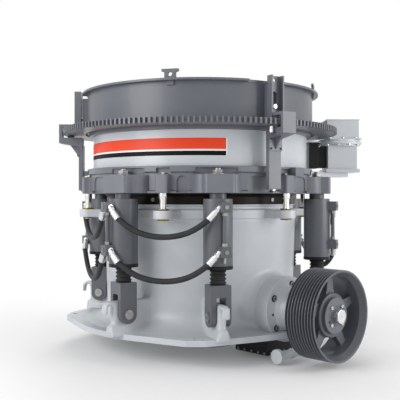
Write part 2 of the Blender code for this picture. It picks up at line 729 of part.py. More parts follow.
def make_frame_hub():
    """Hub of the frame with its three arms and the tunnel of the countershaft box."""
    collar = HUB_TOP - HUB_COLLAR
    body = turned([(0, 0), (HUB_FOOT_RADIUS, 0), (HUB_FOOT_RADIUS, HUB_FOOT_HEIGHT),
                   (HUB_TOP_RADIUS + HUB_SHOULDER, collar - HUB_SHOULDER), (HUB_TOP_RADIUS, collar),
                   (HUB_TOP_RADIUS, HUB_TOP), (0, HUB_TOP)], INNER_SEGMENTS)
    arm_top = FLANGE_TOP + ARM_RISE
    outline = [(ARM_ROOT_RADIUS, ARM_ROOT_FOOT), (BOWL_RADIUS, FLANGE_UNDERSIDE), (BOWL_RADIUS, arm_top),
               (ARM_ROOT_RADIUS, arm_top + ARM_HAUNCH)]
    arms = [extruded(outline, -ARM_WIDTH / 2, ARM_WIDTH / 2,
                     facing(angle) @ UPRIGHT) for angle in ARM_ANGLES]
    tunnel = rod((TUNNEL_START, 0, SHAFT_HEIGHT), (BOWL_RADIUS, 0, SHAFT_HEIGHT), TUNNEL_RADIUS,
                 INNER_SEGMENTS)
    join(body, arms + [tunnel])
    seat = WALL_INNER_RADIUS - bore_radius(0, SEAT_GAP, RING_SEGMENTS)
    outside = turned([(seat, 0), (CORNER_REACH, 0), (CORNER_REACH, HUB_TOP), (seat, HUB_TOP)],
                     RING_SEGMENTS)
    socket = rod((0, 0, HUB_TOP - SHAFT_SOCKET), (0, 0, FRAME_TOP),
                 bore_radius(SHAFT_RADIUS, SEAT_GAP, INNER_SEGMENTS), INNER_SEGMENTS)
    return cut(body, [outside, barrel_bore(), socket])


def make_main_shaft():
    """Fixed main shaft that stands in the hub and carries the head."""
    foot = HUB_TOP - SHAFT_SOCKET + SEAT_GAP
    top = MANTLE_TOP - SHAFT_HEADROOM
    return turned([(0, foot), (SHAFT_RADIUS, foot), (SHAFT_RADIUS, top - SHAFT_HEADROOM - SHAFT_TAPER),
                   (SHAFT_RADIUS * SHAFT_NECK_SHARE, top - SHAFT_TAPER),
                   (SHAFT_RADIUS * SHAFT_TIP_SHARE, top),
                   (0, top)], INNER_SEGMENTS)


def make_eccentric():
    """Eccentric sleeve with its counterweight ring round the main shaft."""
    inner = bore_radius(SHAFT_RADIUS, RUNNING_GAP, INNER_SEGMENTS)
    foot = HUB_TOP + SEAT_GAP
    low = foot + ECCENTRIC_FOOT
    high = low + COUNTERWEIGHT_HEIGHT
    flange = ECCENTRIC_RADIUS + ECCENTRIC_FLANGE
    top = HUB_TOP + ECCENTRIC_HEIGHT
    return turned([(inner, foot), (flange, foot), (flange, low), (COUNTERWEIGHT_RADIUS, low),
                   (COUNTERWEIGHT_RADIUS, high), (ECCENTRIC_RADIUS, high + COUNTERWEIGHT_SLOPE),
                   (ECCENTRIC_RADIUS, top),
                   (inner, top)], INNER_SEGMENTS)


def mantle_line(height):
    """Outer radius of the mantle at a height."""
    share = (height - MANTLE_FOOT) / MANTLE_HEIGHT
    return MANTLE_FOOT_RADIUS + (MANTLE_TOP_RADIUS - MANTLE_FOOT_RADIUS) * share


def mantle_wall():
    """Thickness of the mantle measured along its radius."""
    return MANTLE_THICKNESS / cos(atan2(MANTLE_FOOT_RADIUS - MANTLE_TOP_RADIUS, MANTLE_HEIGHT))


def make_head():
    """Head casting under the mantle, open below round the eccentric."""
    inset = mantle_wall() + 3 * SEAT_GAP
    bore = bore_radius(SHAFT_RADIUS, RUNNING_GAP, INNER_SEGMENTS)
    crown = MANTLE_TOP - MANTLE_CROWN
    tip = MANTLE_TOP - SHAFT_HEADROOM + SEAT_GAP
    neck = tip - SHAFT_TAPER
    shoulder = neck - SHAFT_HEADROOM
    ledge = HUB_TOP + ECCENTRIC_HEIGHT + SEAT_GAP
    room = ECCENTRIC_RADIUS + HEAD_ROOM
    return turned([(mantle_line(MANTLE_FOOT) - inset, MANTLE_FOOT), (mantle_line(crown) - inset, crown),
                   (0, crown), (0, tip), (SHAFT_RADIUS * SHAFT_TIP_SHARE + RUNNING_GAP, tip),
                   (SHAFT_RADIUS * SHAFT_NECK_SHARE + RUNNING_GAP * 2, neck), (bore, shoulder),
                   (bore, ledge),
                   (room, ledge), (room, ledge - HEAD_ROOM), (room + HEAD_ROOM_STEP, ledge - HEAD_ROOM)],
                  INNER_SEGMENTS)


def make_mantle():
    """Conical wear liner on the head."""
    wall = mantle_wall()
    crown = MANTLE_TOP - MANTLE_CROWN + SEAT_GAP
    return turned([(mantle_line(MANTLE_FOOT), MANTLE_FOOT), (MANTLE_TOP_RADIUS, MANTLE_TOP),
                   (0.0, MANTLE_TOP),
                   (0.0, crown), (mantle_line(crown) - wall, crown),
                   (mantle_line(MANTLE_FOOT) - wall, MANTLE_FOOT)],
                  INNER_SEGMENTS)


def make_feed_plate():
    """Dished plate that spreads the feed over the head."""
    foot = MANTLE_TOP + SEAT_GAP
    top = foot + FEED_PLATE_HEIGHT
    return turned([(0, foot), (FEED_PLATE_RADIUS, foot), (FEED_PLATE_RADIUS, foot + FEED_PLATE_DISH),
                   (FEED_PLATE_RADIUS - FEED_PLATE_CHAMFER, top), (DISH_RADIUS, top),
                   (DISH_RADIUS - FEED_PLATE_DISH, top - FEED_PLATE_DISH), (0, top - FEED_PLATE_DISH)],
                  INNER_SEGMENTS)


def make_clevis(index):
    """Rod end: a forked block with its cross pin and the piston rod above it."""
    frame = release_frame(index)
    half = CLEVIS_HALF
    outline = arc((0, PIN_HEIGHT), half, 180, 360, 6) + [(half, CLEVIS_TOP), (-half, CLEVIS_TOP)]
    body = extruded(outline, -half, half, frame @ UPRIGHT)
    slot = CLEVIS_SLOT / 2
    cut(body,
        [block((-CLEVIS_WIDTH, -slot, PIN_HEIGHT - CLEVIS_WIDTH), (CLEVIS_WIDTH, slot, CLEVIS_SLOT_TOP),
               frame)])
    reach = Vector((0, half + CLEVIS_PIN_STAND, 0))
    centre = Vector((0, 0, PIN_HEIGHT))
    cross_pin = rod(frame @ (centre - reach), frame @ (centre + reach), CLEVIS_PIN_RADIUS)
    piston_rod = upright_rod(ROD_RADIUS, CYLINDER_CIRCLE, CYLINDER_ANGLES[index],
                             CLEVIS_TOP - CLEVIS_BRIDGE / 2,
                             CYLINDER_BOTTOM + BORE_DEPTH - ROD_END_ROOM)
    return join(body, [cross_pin, piston_rod])


def make_boot(index):
    """Folded rubber boot between the clevis and the cylinder."""
    bottom = CLEVIS_TOP + SEAT_GAP
    top = CYLINDER_BOTTOM - SEAT_GAP
    inner = bore_radius(ROD_RADIUS, RUNNING_GAP, ROD_SEGMENTS)
    pitch = (top - bottom) / BOOT_FOLDS
    profile = [(inner, bottom)]
    for fold in range(BOOT_FOLDS):
        profile += [(BOOT_RADIUS - BOOT_FOLD_DEPTH, bottom + fold * pitch),
                    (BOOT_RADIUS, bottom + (fold + 0.5) * pitch)]
    profile += [(BOOT_RADIUS - BOOT_FOLD_DEPTH, top), (inner, top)]
    return turned(profile, ROD_SEGMENTS,
                  Matrix.Translation(polar(CYLINDER_CIRCLE, CYLINDER_ANGLES[index])))


def manifold_centre(index, height):
    """Centre of a manifold block on the outer face of a cylinder."""
    return release_frame(index) @ Vector((CYLINDER_RADIUS + MANIFOLD_SIZE / 2 - MANIFOLD_SINK, 0, height))


def hose_end(index, towards, height):
    """Port on a manifold's side, and the fitting's direction, towards a neighbouring cylinder."""
    centre = manifold_centre(index, height)
    side = Vector((-sin(radians(CLEVIS_ANGLES[index])), cos(radians(CLEVIS_ANGLES[index])), 0))
    way = manifold_centre(towards, height) - centre
    if side.dot(way) < 0:
        side = -side
    port = centre + side * MANIFOLD_SIZE / 2
    slope = radians(FITTING_SLOPE)
    along = (side + way.normalized()).normalized()
    return port, along * cos(slope) - Vector((0, 0, 1)) * sin(slope)


def hose_neighbours(index):
    """Cylinders that this one shares hoses with."""
    return [b if a == index else a for a, b in HOSE_GAPS if index in (a, b)]


def make_cylinder(index):
    """Tramp release cylinder with its two manifold blocks, pipe and hose fittings."""
    flange = CYLINDER_RADIUS + CYLINDER_FLANGE
    flange_top = CYLINDER_BOTTOM + CYLINDER_FLANGE_HEIGHT
    bore = bore_radius(ROD_RADIUS, RUNNING_GAP, CYLINDER_SEGMENTS)
    top = RING_BOTTOM - SEAT_GAP
    body = turned([(bore, CYLINDER_BOTTOM), (flange, CYLINDER_BOTTOM), (flange, flange_top),
                   (CYLINDER_RADIUS, flange_top), (CYLINDER_RADIUS, CYLINDER_TOP),
                   (CYLINDER_NECK_RADIUS, CYLINDER_TOP), (CYLINDER_NECK_RADIUS, top), (0, top),
                   (0, CYLINDER_BOTTOM + BORE_DEPTH), (bore, CYLINDER_BOTTOM + BORE_DEPTH)],
                  CYLINDER_SEGMENTS, Matrix.Translation(polar(CYLINDER_CIRCLE, CYLINDER_ANGLES[index])))
    frame = release_frame(index)
    near = CYLINDER_RADIUS - MANIFOLD_SINK
    half = MANIFOLD_SIZE / 2
    pieces = []
    for height in MANIFOLD_HEIGHTS:
        pieces.append(block((near, -half, height - half), (near + MANIFOLD_SIZE, half, height + half),
                            frame))
        for neighbour in hose_neighbours(index):
            port, way = hose_end(index, neighbour, height)
            pieces.append(rod(port - way * FITTING_SINK, port + way * FITTING_LENGTH, FITTING_RADIUS,
                              FITTING_SEGMENTS))
    low = manifold_centre(index, min(MANIFOLD_HEIGHTS))
    high = manifold_centre(index, max(MANIFOLD_HEIGHTS))
    pieces.append(rod(low, high, MANIFOLD_PIPE_RADIUS, FITTING_SEGMENTS))
    return join(body, pieces)


def hose_route(first, second, height, sag):
    """Points of one hanging hose, from fitting to fitting, spaced along a smooth curve."""
    start, start_way = hose_end(first, second, height)
    end, end_way = hose_end(second, first, height)
    start = start + start_way * (FITTING_LENGTH + SEAT_GAP)
    end = end + end_way * (FITTING_LENGTH + SEAT_GAP)
    first_lead = start + start_way * HOSE_LEAD
    last_lead = end + end_way * HOSE_LEAD
    knots = [first_lead + (last_lead - first_lead) * share - Vector((0, 0, sag * drop))
             for share, drop in HOSE_SHAPE]
    return [start] + smooth_points(knots, HOSE_POINT_SPACING) + [end]


def smooth_points(knots, spacing):
    """Points about one spacing apart on a Catmull-Rom curve through the knots."""
    fine = []
    for i in range(len(knots) - 1):
        before = knots[max(i - 1, 0)]
        after = knots[min(i + 2, len(knots) - 1)]
        for j in range(CURVE_STEPS):
            t = j / CURVE_STEPS
            fine.append(0.5 * (2 * knots[i] + (knots[i + 1] - before) * t
                               + (2 * before - 5 * knots[i] + 4 * knots[i + 1] - after) * t ** 2
                               + (3 * knots[i] - before - 3 * knots[i + 1] + after) * t ** 3))
    fine.append(knots[-1])
    travelled = [0.0]
    for a, b in zip(fine, fine[1:]):
        travelled.append(travelled[-1] + (b - a).length)
    count = max(2, round(travelled[-1] / spacing))
    points = []
    place = 0
    for k in range(count + 1):
        wanted = travelled[-1] * k / count
        while place < len(fine) - 2 and travelled[place + 1] < wanted:
            place += 1
        share = (wanted - travelled[place]) / (travelled[place + 1] - travelled[place])
        points.append(fine[place].lerp(fine[place + 1], share))
    return points


def make_hose(name, points):
    """Hose as a bevelled curve with closed ends."""
    curve = bpy.data.curves.new(name, "CURVE")
    curve.dimensions = "3D"
    curve.bevel_depth = HOSE_RADIUS
    curve.bevel_resolution = 2
    curve.use_fill_caps = True
    spline = curve.splines.new("POLY")
    spline.points.add(len(points) - 1)
    for target, point in zip(spline.points, points):
        target.co = (*point, 1.0)
    item = bpy.data.objects.new(name, curve)
    bpy.context.collection.objects.link(item)
    return item


def arched_outline(half):
    """Front view of a pocket with round upper corners."""
    low = RING_BOTTOM + FLAT_INSET / 2
    high = RING_BOTTOM + POCKET_RISE
    outline = [(-half, low), (half, low)]
    outline += arc((half - POCKET_CORNER, high - POCKET_CORNER), POCKET_CORNER, 0, 90, 3)
    outline += arc((POCKET_CORNER - half, high - POCKET_CORNER), POCKET_CORNER, 90, 180, 3)
    return outline


def ring_cuts():
    """Arched pockets, nut recesses and the flats that bolted pieces sit on."""
    cuts = []
    for half, angles in ((NARROW_POCKET_HALF, NARROW_POCKETS), (WIDE_POCKET_HALF, WIDE_POCKETS)):
        for angle in angles:
            outward = facing(angle) @ Matrix.Rotation(pi / 2, 4, "Z") @ UPRIGHT
            cuts.append(extruded(arched_outline(half), RING_RADIUS - POCKET_DEPTH, CYLINDER_CIRCLE,
                                 outward))
    recess_foot = EAR_TOP - RECESS_SINK
    recess_top = RING_TOP - RECESS_ROOF
    back = RING_RADIUS - RECESS_DEPTH
    for angles, half in ((CYLINDER_ANGLES, RECESS_HALF_WIDTH),
                         (PIN_ANGLES, PIN_EAR_HALF_WIDTH + RECESS_DEPTH)):
        for angle in angles:
            cuts.append(block((back, -half, recess_foot), (CYLINDER_CIRCLE, half, recess_top),
                              facing(angle)))
    flats = [(angle, POST_FOOT_HALF) for angle in POST_ANGLES]
    flats += [(JUNCTION_ANGLE, JUNCTION_HALF), (DRIVE_UNIT_ANGLE, UNIT_ARM_HALF)]
    for angle, half in flats:
        low = (SEAT_FLAT, -half - FLAT_INSET, RING_TOP - PAD_HEIGHT - FLAT_INSET)
        cuts.append(block(low, (CYLINDER_CIRCLE, half + FLAT_INSET, RING_TOP + FLAT_INSET),
                          facing(angle)))
    return cuts


def ear_outline():
    """Plan of the ear over a cylinder, its root following the ring's bore."""
    root_radius = RING_RADIUS - EAR_SINK
    widths = (EAR_HALF_WIDTH, EAR_HALF_WIDTH / 2, 0, -EAR_HALF_WIDTH / 2, -EAR_HALF_WIDTH)
    root = [(sqrt(root_radius ** 2 - width ** 2) - CYLINDER_CIRCLE, width) for width in widths]
    return root + [(0.0, -EAR_HALF_WIDTH), (EAR_SHOULDER, -EAR_HALF_FACE - EAR_SHOULDER),
                   (EAR_REACH - EAR_CHAMFER, -EAR_HALF_FACE), (EAR_REACH, -EAR_HALF_FACE + EAR_CHAMFER),
                   (EAR_REACH, EAR_HALF_FACE - EAR_CHAMFER), (EAR_REACH - EAR_CHAMFER, EAR_HALF_FACE),
                   (EAR_SHOULDER, EAR_HALF_FACE + EAR_SHOULDER), (0.0, EAR_HALF_WIDTH)]


def make_ring_core():
    """Turned core of the adjustment ring with its skirt and its upper pad."""
    bowl_bore = bore_radius(BOWL_RADIUS, MOVING_GAP, RING_SEGMENTS)
    lip = RING_RADIUS + RING_LIP
    skirt_foot = FRAME_TOP + SEAT_GAP
    pad_foot = RING_TOP - PAD_HEIGHT
    return turned([(PAD_RADIUS, RING_TOP), (PAD_RADIUS, pad_foot), (RING_RADIUS, pad_foot - FLAT_INSET),
                   (RING_RADIUS, RING_BOTTOM + RING_LIP_HEIGHT), (lip, RING_BOTTOM + RING_LIP_HEIGHT / 2),
                   (lip, RING_BOTTOM), (SKIRT_RADIUS + SKIRT_CHAMFER, RING_BOTTOM),
                   (SKIRT_RADIUS, RING_BOTTOM - SKIRT_CHAMFER), (SKIRT_RADIUS, skirt_foot),
                   (SKIRT_INNER_RADIUS, skirt_foot), (SKIRT_INNER_RADIUS, BOWL_SHELF - SHELF_CHAMFER),
                   (SKIRT_INNER_RADIUS + SHELF_SLOPE, BOWL_SHELF), (bowl_bore, BOWL_SHELF),
                   (bowl_bore, RING_TOP)],
                  RING_SEGMENTS)


def make_adjustment_ring():
    """Adjustment ring with its cylinder ears, pin ears, nuts and guide pins."""
    body = cut(make_ring_core(), ring_cuts())
    pieces = []
    for angle in CYLINDER_ANGLES:
        pieces.append(extruded(ear_outline(), RING_BOTTOM, EAR_TOP,
                               station(CYLINDER_CIRCLE, angle, angle)))
        pieces.append(upright_rod(EAR_NUT_RADIUS, CYLINDER_CIRCLE, angle, EAR_TOP - FLAT_INSET,
                                  EAR_TOP + EAR_NUT_HEIGHT, FITTING_SEGMENTS))
    for angle in PIN_ANGLES:
        pieces.append(block((RING_RADIUS - EAR_SINK, -PIN_EAR_HALF_WIDTH, RING_BOTTOM),
                            (PIN_CIRCLE + PIN_EAR_REACH, PIN_EAR_HALF_WIDTH, EAR_TOP), facing(angle)))
        pin_top = RING_BOTTOM + PIN_ROOT
        pieces.append(upright_rod(PIN_RADIUS, PIN_CIRCLE, angle, pin_top - PIN_LENGTH, pin_top))
    return join(body, pieces)


def make_bowl():
    """Bowl drum that slides in the adjustment ring and holds the liner."""
    chest = SKIRT_INNER_RADIUS - 2 * MOVING_GAP
    shelf = BOWL_SHELF + SEAT_GAP
    throat = THROAT_RADIUS + LINER_THICKNESS
    return turned([(BOWL_RADIUS, BOWL_TOP), (BOWL_RADIUS, shelf), (chest + SHELF_SLOPE, shelf),
                   (chest, BOWL_SHELF - SHELF_CHAMFER), (BOWL_LIP_RADIUS, FRAME_TOP + BOWL_KNEE),
                   (BOWL_LIP_RADIUS, BOWL_LIP), (LINER_SEAT_RADIUS, BOWL_LIP),
                   (throat + 3 * SEAT_GAP, THROAT_TOP - THROAT_BEND), (throat + THROAT_STEP, THROAT_TOP),
                   (CAP_INNER_RADIUS, BOWL_TOP)], RING_SEGMENTS)


def make_bowl_liner():
    """Wear liner inside the bowl, facing the mantle."""
    throat = THROAT_RADIUS + LINER_THICKNESS
    knee = LINER_BOTTOM + LINER_KNEE_RISE
    return turned([(LINER_SEAT_RADIUS - 3 * SEAT_GAP, BOWL_LIP),
                   (MANTLE_FOOT_RADIUS + CLOSED_SIDE_GAP, LINER_BOTTOM),
                   (MANTLE_FOOT_RADIUS - LINER_KNEE_INSET, knee),
                   (THROAT_RADIUS, THROAT_TOP - 2 * THROAT_BEND),
                   (THROAT_RADIUS - THROAT_LIP, THROAT_TOP), (throat - THROAT_LIP / 2, THROAT_TOP),
                   (throat, THROAT_TOP - THROAT_BEND)], RING_SEGMENTS)


def make_cap():
    """Adjustment cap between the bowl and the hopper."""
    foot = BOWL_TOP + SEAT_GAP
    head = foot + CAP_HEIGHT
    return turned([(CAP_RADIUS, head), (CAP_RADIUS, foot), (CAP_INNER_RADIUS, foot),
                   (CAP_INNER_RADIUS, head)],
                  RING_SEGMENTS)


def make_lug_plate(angle):
    """Lifting lug on the hopper's rim."""
    frame = station(HOPPER_RADIUS + LUG_PLATE_FACE, angle, angle)
    stem = LUG_PLATE_HALF_STEM
    head = LUG_PLATE_HALF_HEAD
    foot = HOPPER_TOP - LUG_PLATE_FOOT
    shoulder = LUG_PLATE_TOP - LUG_PLATE_SHOULDER
    ledge = LUG_PLATE_TOP - LUG_PLATE_LEDGE
    outline = [(-stem, foot), (stem, foot), (stem, shoulder), (head, ledge), (head, LUG_PLATE_TOP),
               (-head, LUG_PLATE_TOP), (-head, ledge), (-stem, shoulder)]
    outward = frame @ Matrix.Rotation(pi / 2, 4, "Z") @ UPRIGHT
    plate = extruded(outline, -LUG_PLATE_THICKNESS, 0, outward)
    centre = Vector((0, 0, HOPPER_TOP + HOPPER_DROP))
    reach = Vector((2 * LUG_PLATE_THICKNESS, 0, 0))
    hole = rod(frame @ (centre - reach), frame @ (centre + reach), LUG_PLATE_HOLE_RADIUS)
    return cut(plate, [hole])


def make_hopper():
    """Feed hopper with its rim, lifting lugs and the studs that run in the channels."""
    foot = BOWL_TOP + CAP_HEIGHT + 2 * SEAT_GAP
    floor = foot + HOPPER_FOOT_HEIGHT
    inner = HOPPER_RADIUS - HOPPER_WALL
    seat = CAP_INNER_RADIUS + FLAT_INSET
    rim_foot = HOPPER_TOP - RIM_THICKNESS
    body = turned([(inner, HOPPER_TOP), (inner, floor), (seat, floor), (seat, foot),
                   (HOPPER_RADIUS, foot),
                   (HOPPER_RADIUS, rim_foot), (RIM_RADIUS, rim_foot), (RIM_RADIUS, HOPPER_TOP)],
                   RING_SEGMENTS)
    gap = RIM_GAP_HALF_WIDTH
    near = HOPPER_RADIUS + RIM_GAP_MARGIN
    cut(body,
        [block((near, -gap, HOPPER_TOP - RIM_WIDTH), (DRIVE_TIP_RADIUS, gap, CHANNEL_TOP), facing(angle))
               for angle in POST_ANGLES])
    pieces = [make_lug_plate(angle) for angle in LUG_PLATE_ANGLES]
    stud_start = HOPPER_RADIUS - HOPPER_WALL / 2
    stud_end = HOPPER_RADIUS + MOVING_GAP + CHANNEL_WALL + STUD_STAND
    pieces += [rod(polar(stud_start, angle, STUD_HEIGHT), polar(stud_end, angle, STUD_HEIGHT),
                   STUD_RADIUS)
               for angle in POST_ANGLES]
    return join(body, pieces)


def tooth_outline():
    """Outer outline of the drive ring: straight-sided teeth round the rim."""
    root = DRIVE_TIP_RADIUS - TOOTH_DEPTH
    pitch = 360 / TOOTH_COUNT
    at_root = pitch * TOOTH_ROOT_SHARE
    at_tip = pitch * TOOTH_TIP_SHARE
    points = []
    for tooth in range(TOOTH_COUNT):
        middle = tooth * pitch
        corners = ((root, middle - at_root), (DRIVE_TIP_RADIUS, middle - at_tip),
                   (DRIVE_TIP_RADIUS, middle + at_tip), (root, middle + at_root))
        points += [tuple(polar(radius, angle).xy) for radius, angle in corners]
    return points


def make_channel(angle):
    """Upright channel with the slot that a hopper stud rises in."""
    back = HOPPER_RADIUS + MOVING_GAP
    front = back + CHANNEL_DEPTH
    web = back + CHANNEL_WALL
    half = CHANNEL_WIDTH / 2
    inside = half - CHANNEL_WALL
    outline = [(back, -half), (front, -half), (front, -inside), (web, -inside), (web, inside),
               (front, inside),
               (front, half), (back, half)]
    channel = extruded(outline, DRIVE_TOP - CHANNEL_SINK, CHANNEL_TOP, facing(angle))
    slot_half = STUD_RADIUS + STUD_ROOM
    slot = block((HOPPER_RADIUS, -slot_half, STUD_HEIGHT - slot_half),
                 (front, slot_half, STUD_HEIGHT + slot_half + BOWL_TRAVEL), facing(angle))
    eye_height = CHANNEL_TOP - CHANNEL_HOLE_DROP
    eye = rod(polar(HOPPER_RADIUS, angle, eye_height), polar(front, angle, eye_height),
              CHANNEL_HOLE_RADIUS)
    return cut(channel, [slot, eye])


def make_drive_ring():
    """Toothed drive ring with its three upright channels."""
    body = extruded(tooth_outline(), DRIVE_BOTTOM, DRIVE_TOP)
    cut(body, [rod((0, 0, BOWL_TOP), (0, 0, CHANNEL_TOP), DRIVE_INNER_RADIUS, RING_SEGMENTS)])
    return join(body, [make_channel(angle) for angle in POST_ANGLES])


def make_roller_post(angle):
    """Post on the adjustment ring with a C bracket whose rollers hold the drive ring's edge."""
    frame = facing(angle)
    half = ROLLER_POST_HALF
    foot = block((SEAT_FLAT + SEAT_GAP, -POST_FOOT_HALF, RING_TOP - POST_FOOT_DROP),
                 (ROLLER_POST_INNER + FLAT_INSET, POST_FOOT_HALF, RING_TOP - POST_FOOT_LEDGE), frame)
    body = block((ROLLER_POST_INNER, -half, ROLLER_POST_BOTTOM),
                 (ROLLER_POST_FRONT, half, ROLLER_POST_TOP), frame)
    lower = DRIVE_BOTTOM - SEAT_GAP - ROLLER_RADIUS
    upper = DRIVE_TOP + MOVING_GAP + ROLLER_RADIUS
    head = upper + BRACKET_HEAD
    inner = BRACKET_OUTER - BRACKET_WALL
    root = ROLLER_POST_INNER + FLAT_INSET
    outline = [(root, ROLLER_POST_TOP - BRACKET_SLOPE), (BRACKET_OUTER, ROLLER_POST_TOP + BRACKET_SLOPE),
               (BRACKET_OUTER, head), (ROLLER_REACH, head), (ROLLER_REACH, upper), (inner, upper),
               (inner, lower), (root, lower)]
    bracket = extruded(outline, -BRACKET_HALF, BRACKET_HALF, frame @ UPRIGHT)
    plate_low = (ROLLER_POST_FRONT - FLAT_INSET, -HEAD_PLATE_HALF, ROLLER_POST_TOP - HEAD_PLATE_HEIGHT)
    plate_high = (ROLLER_POST_FRONT + HEAD_PLATE_THICKNESS, HEAD_PLATE_HALF, ROLLER_POST_TOP + BOLT_SINK)
    head_plate = block(plate_low, plate_high, frame)
    gusset_low = ROLLER_POST_TOP - GUSSET_HEIGHT
    gusset_back = ROLLER_POST_FRONT - FLAT_INSET
    gusset = extruded([(gusset_back, gusset_low), (ROLLER_REACH + FLAT_INSET, gusset_low),
                       (ROLLER_POST_FRONT + GUSSET_REACH, ROLLER_POST_TOP + FLAT_INSET),
                       (gusset_back, ROLLER_POST_TOP + FLAT_INSET)], -GUSSET_HALF, GUSSET_HALF,
                       frame @ UPRIGHT)
    rollers = [rod(polar(ROLLER_REACH - RIM_STEP, angle, height),
                   polar(ROLLER_REACH + ROLLER_LENGTH, angle, height),
                   ROLLER_RADIUS, CYLINDER_SEGMENTS) for height in (lower, upper)]
    return join(body, [foot, bracket, head_plate, gusset] + rollers)


def unit_frame():
    """Frame of the adjustment drive unit, its local X pointing outwards."""
    return station(DRIVE_UNIT_CIRCLE, DRIVE_UNIT_ANGLE, DRIVE_UNIT_ANGLE)


def make_unit_cover():
    """Cover over the pinion, with a lip round its foot."""
    half = UNIT_COVER_HALF
    edge = half + UNIT_LIP
    body = block((-half, -half, UNIT_COVER_BOTTOM), (half, half, UNIT_COVER_BOTTOM + UNIT_COVER_HEIGHT),
                 unit_frame())
    lip = block((-half, -edge, UNIT_COVER_BOTTOM), (edge, edge, UNIT_COVER_BOTTOM + UNIT_LIP_HEIGHT),
                unit_frame())
    return join(body, [lip])


def make_unit_gearbox():
    """Gearbox of the adjustment drive, with its round flange and the foot that the ring carries."""
    frame = unit_frame()
    half = UNIT_BOX_HALF
    base = UNIT_BASE_HALF
    waist = UNIT_PLATE_RADIUS - UNIT_FLANGE_STEP
    step = UNIT_PLATE_BOTTOM + UNIT_FLANGE_RISE
    top = UNIT_COVER_BOTTOM - SEAT_GAP
    body = block((-half, -half, UNIT_BOX_BOTTOM), (half, half, UNIT_PLATE_BOTTOM + UNIT_FUSE), frame)
    plate = turned([(0, UNIT_PLATE_BOTTOM), (waist, UNIT_PLATE_BOTTOM), (waist, step),
                    (UNIT_PLATE_RADIUS, step),
                    (UNIT_PLATE_RADIUS, top), (0, top)], INNER_SEGMENTS, frame)
    foot = block((-base, -base, UNIT_BASE_BOTTOM), (base, base, UNIT_BOX_BOTTOM + UNIT_FUSE), frame)
    reach = SEAT_FLAT + SEAT_GAP - DRIVE_UNIT_CIRCLE
    arm = block((reach, -UNIT_ARM_HALF, RING_TOP - UNIT_ARM_DROP),
                (UNIT_ARM_END, UNIT_ARM_HALF, UNIT_BASE_BOTTOM + UNIT_FUSE), frame)
    return join(body, [plate, foot, arm])


def make_junction_box():
    """Small box on the adjustment ring beside the roller post."""
    near = SEAT_FLAT + SEAT_GAP
    return block((near, -JUNCTION_HALF, RING_TOP - JUNCTION_FOOT),
                 (near + JUNCTION_DEPTH, JUNCTION_HALF, RING_TOP - JUNCTION_HEAD), facing(JUNCTION_ANGLE))


def bolt_heads(count, circle, first, face, radius, height):
    """Hexagon heads on a face square to the countershaft."""
    bolts = []
    for bolt in range(count):
        turn = radians(first + 360 * bolt / count)
        centre = Vector((face, circle * cos(turn), SHAFT_HEIGHT + circle * sin(turn)))
        bolts.append(rod(centre - Vector((BOLT_SINK, 0, 0)), centre + Vector((height, 0, 0)), radius,
                         FITTING_SEGMENTS))
    return bolts


def make_countershaft_box():
    """Countershaft box: flange with its bolts, barrel in the frame and neck behind the sheave."""
    bore = bore_radius(COUNTERSHAFT_RADIUS, RUNNING_GAP, INNER_SEGMENTS)
    back = BOX_FACE - BOX_FLANGE_THICKNESS
    body = turned([(bore, BOX_BARREL_START), (BOX_BARREL_RADIUS, BOX_BARREL_START),
                   (BOX_BARREL_RADIUS, back),
                   (BOX_FLANGE_RADIUS, back), (BOX_FLANGE_RADIUS, BOX_FACE),
                   (BOX_BARREL_RADIUS, BOX_FACE),
                   (BOX_NECK_RADIUS + BOX_NECK_STEP, BOX_FACE + BOX_NECK_ROOT),
                   (BOX_NECK_RADIUS, BOX_FACE + BOX_NECK_FLARE), (BOX_NECK_RADIUS, BOX_NECK_END),
                   (bore, BOX_NECK_END)], INNER_SEGMENTS, ALONG_SHAFT)
    half_step = 180 / BOX_BOLT_COUNT
    return join(body, bolt_heads(BOX_BOLT_COUNT, BOX_BOLT_CIRCLE, half_step, BOX_FACE, BOX_BOLT_RADIUS,
                                 BOX_BOLT_HEIGHT))


def make_countershaft():
    """Countershaft that carries the sheave, its facets half a step from those of its bores."""
    half_step = Matrix.Rotation(pi / INNER_SEGMENTS, 4, "Z")
    return turned([(0, COUNTERSHAFT_START), (COUNTERSHAFT_RADIUS, COUNTERSHAFT_START),
                   (COUNTERSHAFT_RADIUS, COUNTERSHAFT_END), (0, COUNTERSHAFT_END)], INNER_SEGMENTS,
                  ALONG_SHAFT @ half_step)


def rim_outline():
    """Rim of the sheave with its V grooves, as (radius, distance along the shaft)."""
    inner = SHEAVE_RADIUS - SHEAVE_RIM_THICKNESS
    slope = inner - SHEAVE_RIM_SLOPE
    root = SHEAVE_RADIUS - GROOVE_DEPTH
    top_half = GROOVE_PITCH * GROOVE_TOP_SHARE / 2
    bottom_half = GROOVE_PITCH * GROOVE_BOTTOM_SHARE / 2
    points = [(SHEAVE_RADIUS, SHEAVE_BACK)]
    for groove in range(GROOVE_COUNT):
        middle = SHEAVE_BACK + (groove + 0.5) * GROOVE_PITCH
        points += [(SHEAVE_RADIUS, middle - top_half), (root, middle - bottom_half),
                   (root, middle + bottom_half),
                   (SHEAVE_RADIUS, middle + top_half)]
    return points + [(SHEAVE_RADIUS, SHEAVE_FRONT), (SHEAVE_RADIUS - SHEAVE_RIM_CHAMFER, SHEAVE_FRONT),
                     (inner, SHEAVE_FRONT - SHEAVE_RIM_THICKNESS), (slope, WEB_FRONT), (slope, WEB_BACK),
                     (inner, SHEAVE_BACK)]


